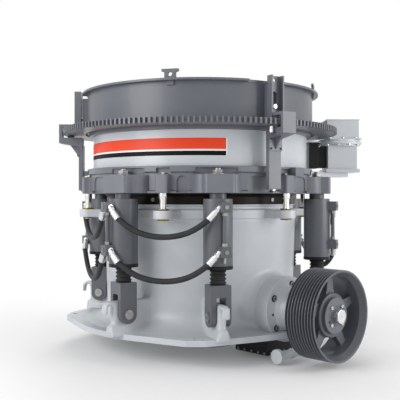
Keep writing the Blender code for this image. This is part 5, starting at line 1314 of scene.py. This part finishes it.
@dataclass
class Chamber(Assembly):
    """Mantle and feed plate inside the machine."""

    body = Body.FRAME
    mantle_foot: float = 0.680
    mantle_low: float = 1.200
    mantle_neck: float = 0.250
    mantle_high: float = 1.800
    mantle_wall: float = 0.068
    plate_radius: float = 0.235
    plate_height: float = 0.050

    def line(self, height: float) -> float:
        """Outer radius of the mantle at a height."""
        share = (height - self.mantle_low) / (self.mantle_high - self.mantle_low)
        return self.mantle_foot + (self.mantle_neck - self.mantle_foot) * share

    def build(self) -> None:
        """Makes the wear parts that show down the hopper."""
        crown = self.mantle_high - 0.0997
        mantle = Form.turned([(self.mantle_foot, self.mantle_low), (self.mantle_neck, self.mantle_high),
                              (0, self.mantle_high), (0, crown), (self.line(crown) - self.mantle_wall, crown),
                              (self.mantle_foot - self.mantle_wall, self.mantle_low)], soften=0.010)
        self.piece("mantle_liner", mantle, Finish.MANGANESE, ["mantle"])
        low = self.mantle_high + 0.0003
        high = low + self.plate_height
        rim = self.plate_radius
        plate = Form.turned([(0, low), (rim, low), (rim, low + 0.02), (rim - 0.03, high), (0.09, high),
                             (0.07, high - 0.02), (0, high - 0.02)], MEDIUM_STEPS, soften=0.005)
        self.piece("feed_dish", plate, Finish.MANGANESE, ["feed_plate"])


@dataclass
class Hopper(Assembly):
    """Feed hopper with its interrupted rim, its lifting lugs and its studs."""

    body = Body.BOWL
    radius: float = 1.088
    wall: float = 0.016
    foot: float = 2.0006
    top: float = 2.382
    rim_radius: float = 1.143
    rim_thickness: float = 0.020
    rim_gap: float = 0.177
    rim_gap_turn: float = -2.5
    rib_half: float = 0.045
    rib_reach: float = 1.138
    rib_low: float = 2.056
    rib_high: float = 2.352
    seat_inner: float = 0.970
    lug_angles: tuple[float, ...] = (-56.5, 33.5, 123.5, 213.5)
    lug_tab: float = 0.030
    lug_stem: float = 0.050
    lug_head: float = 0.075
    lug_top: float = 2.462
    lug_thickness: float = 0.022
    post_angles: tuple[float, ...] = (-11.0, 109.0, 229.0)
    stud_height: float = 2.160
    stud_radius: float = 0.020

    def build(self) -> None:
        """Makes the shell, the rim, the lugs and the studs."""
        inner = self.radius - self.wall
        shell = Form.turned([(inner, self.top), (inner, self.foot + 0.02),
                             (self.seat_inner, self.foot + 0.02),
                             (self.seat_inner, self.foot), (self.radius, self.foot),
                             (self.radius, self.top - self.rim_thickness),
                             (self.rim_radius, self.top - self.rim_thickness), (self.rim_radius, self.top)],
                            soften=0.003)
        gaps = Form()
        for angle in self.post_angles:
            gap = Form.block((self.radius + 0.0005, -self.rim_gap, self.top - 0.06),
                             (self.rim_radius + 0.05, self.rim_gap, self.top + 0.03))
            gaps.with_forms([gap.placed(station(0, 0, angle + self.rim_gap_turn))])
        ribs = [Form.block((self.radius - 0.008, -self.rib_half, self.rib_low),
                           (self.rib_reach, self.rib_half, self.rib_high),
                           bevel=0.004).placed(station(0, 0, angle))
                for angle in self.post_angles]
        shell.cut([gaps]).fused(ribs)
        # The hopper's shell takes the enamel toned darker as painted shade
        self.piece("hopper_shell", shell, Finish.HOPPER_PAINTED_SHADE, ["hopper"])
        lugs = Form()
        for angle in self.lug_angles:
            half = [(self.lug_tab, self.top - 0.055), (self.lug_tab, self.top - 0.012),
                    (self.lug_stem, self.top - 0.012), (self.lug_stem, self.lug_top - 0.030),
                    (self.lug_head, self.lug_top - 0.020), (self.lug_head, self.lug_top)]
            outline = half + [(-x, y) for x, y in reversed(half)]
            lug = Form.plate(softened(outline, 0.006), -self.lug_thickness, 0, bevel=0.002)
            hole = Form.rod((0, self.top + 0.035, -0.1), (0, self.top + 0.035, 0.1), 0.017)
            place = station(self.radius + 0.018, angle) @ Matrix.Rotation(math.pi / 2, 4, "Z")
            lugs.with_forms([lug.cut([hole]).placed(place @ Matrix.Rotation(math.pi / 2, 4, "X"))])
        # The lifting lugs take the same darker tone, which is painted shade
        self.piece("lifting_lugs", lugs, Finish.HOPPER_PAINTED_SHADE)
        studs = Form()
        for angle in self.post_angles:
            place = station(self.radius, angle, height=self.stud_height) @ Matrix.Rotation(math.pi / 2, 4,
                                                                                           "Y")
            stud = Form.rod((0, 0, 0.040), (0, 0, 0.093), self.stud_radius, SMALL_STEPS, bevel=0.003)
            studs.with_forms([stud.placed(place)])
        self.piece("hopper_studs", studs, Finish.ZINC)


@dataclass
class DriveRing(Assembly):
    """Toothed ring and the three channels that turn the hopper."""

    body = Body.DRIVE
    bottom: float = 1.995
    thickness: float = 0.049
    tip: float = 1.318
    depth: float = 0.027
    inner: float = 1.110
    teeth: int = 180
    taper: float = 0.77
    channel_angles: tuple[float, ...] = (-11.0, 109.0, 229.0)
    channel_back: float = 1.150
    channel_half: float = 0.067
    channel_depth: float = 0.065
    channel_wall: float = 0.016
    channel_top: float = 2.417
    channel_hole: float = 0.016
    slot_low: float = 2.137
    slot_high: float = 2.284
    slot_half: float = 0.023

    def gear(self) -> Form:
        """Ring whose every second outer facet is drawn out into a tooth."""
        root = self.tip - self.depth
        top = self.bottom + self.thickness
        form = Form.turned([(root, self.bottom), (root, top), (root - 0.006, top), (self.inner, top),
                            (self.inner, self.bottom), (root - 0.006, self.bottom)], 2 * self.teeth)
        form.mesh.faces.ensure_lookup_table()
        outer = []
        for face in form.mesh.faces:
            centre = face.calc_center_median()
            flat = Vector((centre.x, centre.y, 0))
            facet = math.degrees(math.atan2(centre.y, centre.x)) % 360 / (180 / self.teeth)
            if flat.normalized().dot(face.normal) > 0.9 and int(facet) % 2 == 0:
                outer.append(face)
        grown = bmesh.ops.extrude_discrete_faces(form.mesh, faces=outer)["faces"]
        for face in grown:
            centre = face.calc_center_median()
            outwards = Vector((centre.x, centre.y, 0)).normalized()
            across = Vector((-outwards.y, outwards.x, 0))
            for vert in face.verts:
                aside = (vert.co - centre).dot(across)
                vert.co += outwards * (self.depth + 0.0002) - across * aside * (1 - self.taper)
        return form.tidy()

    def build(self) -> None:
        """Cuts the teeth and stands the channels on the ring."""
        gear = self.gear()
        self.piece("gear_ring", gear, Finish.PLATE_DARK, ["drive_ring"], weighted=False)
        back = self.channel_back
        half = self.channel_half
        wall = self.channel_wall
        front = back + self.channel_depth
        top = self.bottom + self.thickness
        channels = Form()
        for angle in self.channel_angles:
            outline = [(back, -half), (front, -half), (front, -half + wall), (back + wall, -half + wall),
                       (back + wall, half - wall), (front, half - wall), (front, half), (back, half)]
            channel = Form.plate(softened(outline, 0.003, 2), top - 0.004, self.channel_top, bevel=0.0015)
            slot = Form.block((back - 0.02, -self.slot_half, self.slot_low),
                              (back + wall + 0.02, self.slot_half,
                                                                              self.slot_high), bevel=0.015)
            eye = Form.rod((back - 0.02, 0, self.channel_top - 0.035), (back + wall + 0.02, 0,
                                                                        self.channel_top - 0.035),
                           self.channel_hole)
            foot = Form.block((back, -half - 0.012, top - 0.004), (front + 0.010, half + 0.012, top + 0.016),
                              bevel=0.003)
            channels.with_forms([channel.cut([slot, eye]).fused([foot]).placed(station(0, 0, angle))])
        self.piece("ring_channels", channels, Finish.PLATE_DARK)


@dataclass
class RollerPosts(Assembly):
    """Three posts whose rollers hold the drive ring's edge."""

    body = Body.RING
    angles: tuple[float, ...] = (-11.0, 109.0, 229.0)
    inner: float = 1.130
    depth: float = 0.045
    half: float = 0.065
    bottom: float = 1.462
    top: float = 1.900
    seat: float = 1.080
    foot_low: float = 1.605
    foot_high: float = 1.650
    bracket_half: float = 0.070
    bracket_outer: float = 1.363
    bracket_wall: float = 0.030
    bracket_head: float = 0.028
    ring_bottom: float = 1.995
    ring_top: float = 2.044
    roller: float = 0.022
    roller_length: float = 0.065
    roller_reach: float = 1.227
    side_roller: tuple[float, float, float] = (1.240, -0.090, 1.986)
    clearance: float = 0.006

    def build(self) -> None:
        """Makes each post with its bracket, gusset, rollers and screws."""
        low = self.ring_bottom - 0.0003 - self.roller
        high = self.ring_top + self.clearance + self.roller
        head = high + self.bracket_head
        outer = self.bracket_outer
        front = self.inner + self.depth
        x, y, z = self.side_roller
        for number, angle in enumerate(self.angles, start=1):
            frame = station(0, 0, angle)
            post = Form.block((self.inner, -self.half, self.bottom), (front, self.half, self.top),
                              bevel=0.006)
            foot = Form.block((self.seat, -self.half * 0.8, self.foot_low),
                              (self.inner + 0.02, self.half * 0.8, self.foot_high),
                              bevel=0.003)
            outline = [(self.inner + 0.008, self.top - 0.03), (front + 0.02, self.top - 0.01),
                       (outer, self.top + 0.020), (outer, head), (self.roller_reach, head),
                       (self.roller_reach, high), (outer - self.bracket_wall, high),
                       (outer - self.bracket_wall, low), (self.inner + 0.008, low)]
            bracket = Form.plate(softened(outline, 0.004, 2), -self.bracket_half, self.bracket_half,
                                 bevel=0.003)
            bracket.placed(Matrix.Rotation(math.pi / 2, 4, "X"))
            face = Form.block((front - 0.004, -self.half - 0.004, self.top - 0.115),
                              (front + 0.010, self.half + 0.004, self.top + 0.01), bevel=0.002)
            gusset = Form.plate([(front + 0.004, self.top - 0.10), (front + 0.012, self.top - 0.10),
                                 (front + 0.095, self.top + 0.012), (front + 0.004, self.top + 0.012)],
                                -0.006, 0.006, bevel=0.001).placed(Matrix.Rotation(math.pi / 2, 4, "X"))
            tab = Form.block((x - 0.026, y - 0.022, z - 0.068),
                             (x + 0.026, 0.01 - self.bracket_half, z - 0.056),
                             bevel=0.002)
            post.fused([foot, bracket, face]).fused([gusset, tab])
            self.piece(f"roller_column_{number}", post.placed(frame), Finish.PLATE_MID,
                       [f"roller_post_{number}"])
            steel = [Form.rod((x, y, z - 0.056), (x, y, z), 0.020, SMALL_STEPS, bevel=0.003)]
            for height in (low, high):
                start = Vector((self.roller_reach - 0.004, 0, height))
                steel.append(Form.rod(start, start + Vector((self.roller_length, 0, 0)), self.roller,
                                      MEDIUM_STEPS,
                                      bevel=0.004))
            below = Matrix.Translation((front - 0.02, 0, self.bottom)) @ Matrix.Rotation(math.pi, 4, "X")
            steel.append(hex_bolt(below, 0.014, 0.012))
            self.piece(f"post_rollers_{number}", Form().with_forms([form.placed(frame) for form in steel]),
                       Finish.ZINC)
            screws = []
            for side in (-1, 1):
                for lift in (-0.095, -0.012):
                    place = Matrix.Translation((front + 0.010, side * (self.half - 0.014), self.top + lift))
                    screws.append(socket_screw(frame @ place @ Matrix.Rotation(math.pi / 2, 4, "Y"), 0.009,
                                               0.006))
            self.piece(f"post_screws_{number}", Form().with_forms(screws), Finish.BLACK)


@dataclass
class DriveUnit(Assembly):
    """Adjustment drive beside the ring: pinion cover, flange, gearbox and black side box."""

    body = Body.RING
    angle: float = 62.0
    facing: float = 48.5
    circle: float = 1.50
    cover: float = 0.166
    cover_low: float = 1.985
    cover_high: float = 2.190
    lid_bolt_rows: tuple[float, ...] = (-0.13, 0.0, 0.13)
    lid_bolt_reach: float = 0.176
    gear_room: float = 1.330
    gear_top: float = 2.056
    plate_radius: float = 0.230
    plate_low: float = 1.920
    box: float = 0.150
    box_low: float = 1.680
    base: float = 0.172
    base_low: float = 1.650
    seat: float = 1.080
    arm_low: float = 1.605

    def build(self) -> None:
        """Makes the cover, the gearbox, the side box and their bolts."""
        frame = station(self.circle, self.angle, self.facing)
        half = self.cover
        cover = Form.block((-half, -half, self.cover_low), (half, half, self.cover_high), bevel=0.006)
        lip = Form.block((-half - 0.001, -half - 0.02, self.cover_low),
                         (half + 0.02, half + 0.02, self.cover_low + 0.012), bevel=0.002)
        lid = Form.block((-half - 0.001, -half - 0.004, self.cover_high - 0.010),
                         (half + 0.004, half + 0.004, self.cover_high - 0.0005), bevel=0.002)
        gear = Form.rod((0, 0, self.cover_low - 0.02), (0, 0, self.gear_top), self.gear_room, FINE_STEPS)
        self.piece("pinion_housing", cover.fused([lip, lid]).placed(frame).cut([gear]), Finish.PLATE_LIGHT,
                   ["pinion_cover"])
        panel = Form.block((-half - 0.003, -half + 0.012, self.gear_top + 0.006),
                           (-half + 0.003, half - 0.012, self.cover_high - 0.014), bevel=0.001)
        self.piece("housing_side_panel", panel.placed(frame), Finish.BLACK)
        rim = self.plate_radius
        top = self.cover_low - 0.0003
        flange = Form.turned([(0, self.plate_low), (rim - 0.03, self.plate_low),
                              (rim - 0.03, self.plate_low + 0.018),
                              (rim, self.plate_low + 0.018), (rim, self.plate_low + 0.040),
                              (rim - 0.012, self.plate_low + 0.046), (rim - 0.012, top), (0, top)],
                             MEDIUM_STEPS, soften=0.003)
        side = self.box
        body = Form.block((-side, -side, self.box_low), (side, side, self.plate_low + 0.01), bevel=0.005)
        foot = Form.block((-self.base, -self.base, self.base_low),
                          (self.base, self.base, self.box_low + 0.006),
                          bevel=0.004)
        arm = Form.block((self.seat - self.circle, -0.10, self.arm_low), (0.05, 0.10, self.base_low + 0.01),
                         bevel=0.004).placed(station(self.circle, self.angle))
        gearbox = body.fused([flange]).fused([foot]).placed(frame).fused([arm])
        self.piece("gearbox", gearbox, Finish.PLATE_LIGHT, ["drive_gearbox"])
        motor = Form.block((-0.335, -0.10, self.box_low + 0.014), (-0.236, 0.10, self.plate_low + 0.035),
                           bevel=0.004)
        neck = Form.block((-0.24, -0.08, self.box_low + 0.020), (-side + 0.005, 0.08, self.plate_low - 0.005),
                          bevel=0.003)
        self.piece("drive_side_box", motor.fused([neck]).placed(frame), Finish.BLACK)
        bracket = Form.block((-0.345, -0.11, self.plate_low + 0.037), (-0.21, 0.11, self.plate_low + 0.049),
                             bevel=0.002)
        self.piece("side_box_plate", bracket.placed(frame), Finish.PLATE_LIGHT)
        bolts = []
        for place in ring_of(12, rim - 0.014, 15):
            bolts.append(hex_bolt(place @ Matrix.Translation((0, 0, self.plate_low + 0.018))
                                  @ Matrix.Rotation(math.pi, 4, "X"), 0.013, 0.012))
        for x in self.lid_bolt_rows:
            for y in (-self.lid_bolt_reach, self.lid_bolt_reach):
                bolts.append(hex_bolt(Matrix.Translation((x, y, self.cover_low + 0.012)), 0.009, 0.008))
        self.piece("drive_unit_bolts", Form().with_forms([bolt.placed(frame) for bolt in bolts]), Finish.ZINC)


@dataclass
class JunctionBox(Assembly):
    """Small electrical box on the adjustment ring."""

    body = Body.RING
    angle: float = 6.5
    seat: float = 1.080
    depth: float = 0.062
    half: float = 0.065
    low: float = 1.582
    high: float = 1.658

    def build(self) -> None:
        """Makes the box with its lid."""
        frame = station(self.seat, self.angle)
        box = Form.block((0, -self.half, self.low), (self.depth - 0.010, self.half, self.high), bevel=0.004)
        lid = Form.block((self.depth - 0.012, -self.half, self.low), (self.depth, self.half, self.high),
                         bevel=0.003)
        self.piece("terminal_box", box.fused([lid]).placed(frame), Finish.PLATE_MID, ["junction_box"])


@dataclass
class CountershaftBox(Assembly):
    """Flanged box of the countershaft, with the guard plate and oil drain under it."""

    body = Body.FRAME
    height: float = 0.430
    face: float = 1.110
    flange_radius: float = 0.283
    flange_thickness: float = 0.032
    barrel: float = 0.200
    barrel_start: float = 0.46
    neck: float = 0.150
    neck_end: float = 1.372
    bolt_count: int = 5
    bolt_circle: float = 0.215
    bolt_radius: float = 0.030
    bolt_start: float = 24.5
    dowel_angle: float = -82.4
    pipe_x: float = 1.216
    pipe_low: float = 0.075
    pipe_radius: float = 0.036
    pipe_reach: float = 0.26
    guard_back: float = 0.640
    guard_length: float = 0.380
    guard_half: float = 0.170
    guard_low: float = 0.030
    guard_bolts: tuple[float, ...] = (0.68, 0.76, 0.84, 0.92, 0.99)
    guard_high: float = 0.175

    def build(self) -> None:
        """Turns the box and makes what hangs under it."""
        along = shaft_frame(self.height)
        back = self.face - self.flange_thickness
        bore = 0.0592
        box = Form.turned([(bore, self.barrel_start), (self.barrel, self.barrel_start), (self.barrel, back),
                           (self.flange_radius, back), (self.flange_radius, self.face),
                           (self.barrel + 0.035, self.face), (self.barrel - 0.005, self.face + 0.010),
                           (self.neck + 0.016, self.face + 0.045), (self.neck, self.face + 0.10),
                           (self.neck, self.neck_end - 0.060), (self.neck + 0.012, self.neck_end - 0.055),
                           (self.neck + 0.012, self.neck_end), (bore, self.neck_end)],
                          soften=0.005).placed(along)
        self.piece("shaft_box", box, Finish.CAST_LIGHT, ["countershaft_box"])
        heads = []
        # Black discs round the screw heads and the dowel paint the shade inside their counterbores
        counterbore_shade_discs = []
        for place in ring_of(self.bolt_count, self.bolt_circle, self.bolt_start):
            seat = along @ place @ Matrix.Translation((0, 0, self.face))
            heads.append(socket_screw(seat, self.bolt_radius * 0.72, 0.014))
            counterbore_shade_discs.append(Form.rod((0, 0, -0.004), (0, 0, 0.008), self.bolt_radius, SMALL_STEPS).placed(seat))
        dowel = along @ station(self.bolt_circle - 0.005,
                                self.dowel_angle) @ Matrix.Translation((0, 0, self.face))
        counterbore_shade_discs.append(Form.rod((0, 0, -0.004), (0, 0, 0.008), 0.011, SMALL_STEPS).placed(dowel))
        self.piece("shaft_box_screws", Form().with_forms(heads), Finish.DULL_STEEL)
        self.piece("shaft_box_counterbore_painted_shade", Form().with_forms(counterbore_shade_discs), Finish.BLACK)
        centre = Vector((self.pipe_x, 0, self.pipe_low))
        top = self.height - self.neck - 0.0003
        stub = Form.rod(centre + Vector((0, 0, -0.030)), (self.pipe_x, 0, top), 0.040, SMALL_STEPS,
                        bevel=0.004)
        collar = Form.rod((self.pipe_x, 0, top - 0.060), (self.pipe_x, 0, top - 0.002), 0.060, SMALL_STEPS,
                          bevel=0.004)
        run = Form.rod(centre + Vector((0, 0.042, 0)), centre - Vector((0, self.pipe_reach, 0)),
                       self.pipe_radius,
                       SMALL_STEPS, bevel=0.012)
        sleeve = Form.rod(centre - Vector((0, 0.060, 0)), centre - Vector((0, 0.100, 0)),
                          self.pipe_radius + 0.006,
                          SMALL_STEPS, bevel=0.003)
        self.piece("oil_drain", stub.fused([run]).fused([sleeve, collar]), Finish.PLATE_LIGHT, ["oil_pipe"])
        end = centre - Vector((0, self.pipe_reach, 0))
        flange = Form.rod(end + Vector((0, 0.012, 0)), end - Vector((0, 0.025, 0)), 0.060, SMALL_STEPS,
                          bevel=0.003)
        self.piece("oil_drain_flange", flange, Finish.PLATE_LIGHT)
        guard = Form.block((self.guard_back, -self.guard_half, self.guard_low),
                           (self.guard_back + self.guard_length, self.guard_half, self.guard_high),
                           bevel=0.006)
        self.piece("guard", guard, Finish.BLACK, ["guard_plate"])
        screws = []
        for y in (-0.13, -0.045, 0.045, 0.13):
            place = Matrix.Translation((self.guard_back + self.guard_length, y, 0.050))
            screws.append(hex_bolt(place @ Matrix.Rotation(math.pi / 2, 4, "Y"), 0.011, 0.009))
        for x in self.guard_bolts:
            place = Matrix.Translation((x, -self.guard_half, 0.050))
            screws.append(hex_bolt(place @ Matrix.Rotation(math.pi / 2, 4, "X"), 0.011, 0.009))
        self.piece("guard_bolts", Form().with_forms(screws), Finish.DULL_STEEL)


@dataclass
class Sheave(Assembly):
    """Grooved belt sheave with its spokes, taper bushing and shaft end."""

    body = Body.SHEAVE
    height: float = 0.430
    back: float = 1.381
    radius: float = 0.376
    grooves: int = 10
    pitch: float = 0.0284
    groove_depth: float = 0.024
    groove_top: float = 0.72
    groove_bottom: float = 0.36
    rim: float = 0.050
    web_back: float = 1.498
    web_thickness: float = 0.055
    hub: float = 0.185
    spokes: int = 5
    spoke_hub_half: float = 0.055
    spoke_rim_half: float = 0.036
    bushing: float = 0.120
    bushing_flange: float = 0.150
    bushing_thickness: float = 0.030
    bolt_circle: float = 0.100
    bolts: int = 4
    jack_turns: tuple[float, ...] = (-65, 115)
    shaft: float = 0.058
    shaft_start: float = 0.50
    shaft_end: float = 1.668

    def rim_profile(self) -> list[Pair]:
        """Outline of the grooved rim as (radius, place along the shaft)."""
        front = self.back + self.grooves * self.pitch
        inner = self.radius - self.rim
        web_front = self.web_back + self.web_thickness
        points = [(self.radius, self.back)]
        for groove in range(self.grooves):
            middle = self.back + (groove + 0.5) * self.pitch
            top_half = self.pitch * self.groove_top / 2
            bottom_half = self.pitch * self.groove_bottom / 2
            points += [(self.radius, middle - top_half),
                       (self.radius - self.groove_depth, middle - bottom_half),
                       (self.radius - self.groove_depth, middle + bottom_half),
                       (self.radius, middle + top_half)]
        points += [(self.radius, front), (self.radius - 0.018, front), (inner, front - 0.05),
                   (inner - 0.012, web_front), (inner - 0.012, self.web_back), (inner, self.back)]
        return points

    def build(self) -> None:
        """Turns the rim and hub, sets the spokes between them and adds the bushing."""
        along = shaft_frame(self.height)
        web_front = self.web_back + self.web_thickness
        rim = Form.turned(self.rim_profile(), soften=0.0016)
        hub = Form.turned([(self.bushing, self.web_back - 0.03), (self.hub - 0.008, self.web_back - 0.03),
                           (self.hub, self.web_back - 0.01), (self.hub, web_front + 0.022),
                           (self.hub - 0.008, web_front + 0.03), (self.bushing, web_front + 0.03)],
                          MEDIUM_STEPS, soften=0.003)
        spokes = Form()
        reach = self.radius - self.rim + 0.006
        for spoke in range(self.spokes):
            near = self.hub - 0.02
            outline = [(near, -self.spoke_hub_half - 0.014), (near + 0.034, -self.spoke_hub_half + 0.008),
                       (reach - 0.040, -self.spoke_rim_half), (reach - 0.012, -self.spoke_rim_half - 0.006),
                       (reach, -self.spoke_rim_half - 0.024), (reach, self.spoke_rim_half + 0.024),
                       (reach - 0.012, self.spoke_rim_half + 0.006), (reach - 0.040, self.spoke_rim_half),
                       (near + 0.034, self.spoke_hub_half - 0.008), (near, self.spoke_hub_half + 0.014)]
            form = Form.plate(outline, self.web_back, web_front, bevel=0.006)
            turn = Matrix.Rotation(math.radians(180 + 360 * spoke / self.spokes), 4, "Z")
            spokes.with_forms([form.placed(turn)])
        wheel = rim.fused([spokes]).fused([hub])
        self.piece("belt_sheave", wheel.placed(along), Finish.CYLINDER_DARK, ["sheave"])
        face = web_front + 0.03 + self.bushing_thickness
        bore = self.shaft + 0.0003
        bushing = Form.turned([(bore, self.web_back - 0.03), (self.bushing, self.web_back - 0.03),
                               (self.bushing, web_front + 0.0303), (self.bushing_flange, web_front + 0.0303),
                               (self.bushing_flange, face - 0.004), (self.bushing_flange - 0.004, face),
                               (self.shaft + 0.022, face), (self.shaft + 0.020, face - 0.006),
                               (self.shaft + 0.006, face - 0.006), (bore, face)], MEDIUM_STEPS, soften=0.002)
        self.piece("taper_bushing", bushing.placed(along), Finish.PLATE_DARK, ["sheave_bushing"])
        screws = [socket_screw(along @ place @ Matrix.Translation((0, 0, face)), 0.014, 0.014)
                  for place in ring_of(self.bolts, self.bolt_circle, 45)]
        self.piece("bushing_screws", Form().with_forms(screws), Finish.ZINC)
        # Thin black discs on the bushing's face paint the shade inside its jack screw holes
        holes = [Form.rod((0, 0, -0.004), (0, 0, 0.001), 0.012, SMALL_STEPS)
                 .placed(along @ station(self.bolt_circle, turn) @ Matrix.Translation((0, 0, face)))
                 for turn in self.jack_turns]
        self.piece("bushing_jack_hole_painted_shade", Form().with_forms(holes), Finish.BLACK)
        shaft = Form.rod((0, 0, self.shaft_start), (0, 0, self.shaft_end), self.shaft, MEDIUM_STEPS,
                         bevel=0.004)
        shaft.cut([Form.rod((0, 0, self.shaft_end - 0.008), (0, 0, self.shaft_end + 0.02), 0.004, 12)])
        self.piece("shaft_end", shaft.placed(along), Finish.GROUND_STEEL, ["countershaft"])


@dataclass
class Studio:
    """Pale floor, soft lamps and the camera at the picture's angle."""

    camera_place: tuple[float, float, float] = (4.983, -4.729, 1.390)
    lens_mm: float = 63.0
    shift_y: float = -0.005
    floor_size: float = 60.0
    floor_tone: str = "#F4F4F4"
    fade_start: float = 2.0
    fade_end: float = 4.2
    lamps: list[tuple[str, tuple[float, float, float], float, float]] = field(default_factory=lambda: [
        ("key", (-0.4, -6.6, 3.4), 4.0, 240.0),
        ("fill", (6.2, 2.6, 2.8), 4.0, 200.0),
        ("rim", (-4.5, 3.5, 5.0), 3.0, 200.0),
        ("top", (0.0, 0.0, 7.0), 4.0, 100.0),
    ])

    def build(self) -> None:
        """Sets up the view, the light and the floor."""
        scene = bpy.context.scene
        lens = bpy.data.cameras.new("camera")
        lens.lens = self.lens_mm
        lens.sensor_width = 36.0
        lens.shift_y = self.shift_y
        camera = bpy.data.objects.new("camera", lens)
        camera.location = self.camera_place
        aim = Vector((-self.camera_place[0], -self.camera_place[1], 0))
        camera.rotation_euler = aim.to_track_quat("-Z", "Y").to_euler()
        scene.collection.objects.link(camera)
        scene.camera = camera
        for name, place, size, power in self.lamps:
            light = bpy.data.lights.new(name, "AREA")
            light.size = size
            light.energy = power
            lamp = bpy.data.objects.new(name, light)
            lamp.location = place
            lamp.rotation_euler = (Vector((0, 0, 1.0)) - Vector(place)).to_track_quat("-Z", "Y").to_euler()
            scene.collection.objects.link(lamp)
        scene.view_settings.view_transform = "Standard"
        self.sky()
        self.floor()

    def sky(self) -> None:
        """World that lights softly and shows white."""
        world = bpy.data.worlds.new("studio")
        world.use_nodes = True
        tree = world.node_tree
        background = tree.nodes["Background"]
        path = add(tree, "ShaderNodeLightPath")
        shown = add(tree, "ShaderNodeMath",
                    {0: path.outputs["Is Camera Ray"], 1: path.outputs["Is Glossy Ray"]},
                    operation="MAXIMUM")
        level = add(tree, "ShaderNodeMapRange", {"Value": shown.outputs[0], "To Min": 0.40, "To Max": 1.0})
        background.inputs["Color"].default_value = (1, 1, 1, 1)
        tree.links.new(level.outputs[0], background.inputs["Strength"])
        bpy.context.scene.world = world

    def floor(self) -> None:
        """Wide pale floor that turns as white as the sky away from the machine."""
        form = Form()
        bmesh.ops.create_grid(form.mesh, x_segments=1, y_segments=1, size=self.floor_size / 2)
        floor = form.object("floor")
        material = bpy.data.materials.new("matt_white_floor")
        material.use_nodes = True
        shader = material.node_tree.nodes["Principled BSDF"]
        shader.inputs["Base Color"].default_value = hex_colour(self.floor_tone)
        shader.inputs["Roughness"].default_value = 0.9
        tree = material.node_tree
        place = add(tree, "ShaderNodeTexCoord").outputs["Object"]
        reach = add(tree, "ShaderNodeVectorMath", {0: place}, operation="LENGTH")
        fade = add(tree, "ShaderNodeMapRange", {"Value": reach.outputs["Value"], "From Min": self.fade_start,
                                                "From Max": self.fade_end, "To Min": 0.10, "To Max": 1.0},
                   interpolation_type="SMOOTHSTEP")
        glow = add(tree, "ShaderNodeEmission", {"Strength": 1.0})
        mixed = add(tree, "ShaderNodeMixShader", {0: fade.outputs[0], 1: shader.outputs[0],
                                                  2: glow.outputs[0]})
        tree.links.new(mixed.outputs[0], tree.nodes["Material Output"].inputs["Surface"])
        floor.data.materials.append(material)
        floor.location.z = -0.001


def dress_hidden_nodes(nodes: dict[str, bpy.types.Object]) -> None:
    """Gives the CAD nodes that stay in view from below or above their finish.

    Args:
        nodes: CAD nodes by name.
    """
    finishes = {"main_shaft": Finish.GROUND_STEEL, "eccentric": Finish.MANGANESE,
                "crusher_head": Finish.MANGANESE}
    for name, finish in finishes.items():
        nodes[name].data.materials.clear()
        nodes[name].data.materials.append(finish.material)


def main() -> None:
    """Builds the machine's pieces on its frame and sets up the picture."""
    logging.basicConfig(level=logging.INFO, format="%(message)s")
    for item in list(bpy.data.objects):
        bpy.data.objects.remove(item)
    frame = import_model()
    Studio().build()
    links = ReleaseLinks()
    FrameCasting().build(links)
    links.build()
    for assembly in (GuideBand, AdjustmentRing, Bowl, Chamber, Hopper, DriveRing, RollerPosts, DriveUnit,
                     JunctionBox,
                     CountershaftBox, Sheave):
        assembly().build()
        log.info("%s is in place", assembly.__name__)
    dress_hidden_nodes(frame["nodes"])


if __name__ == "__main__":
    main()
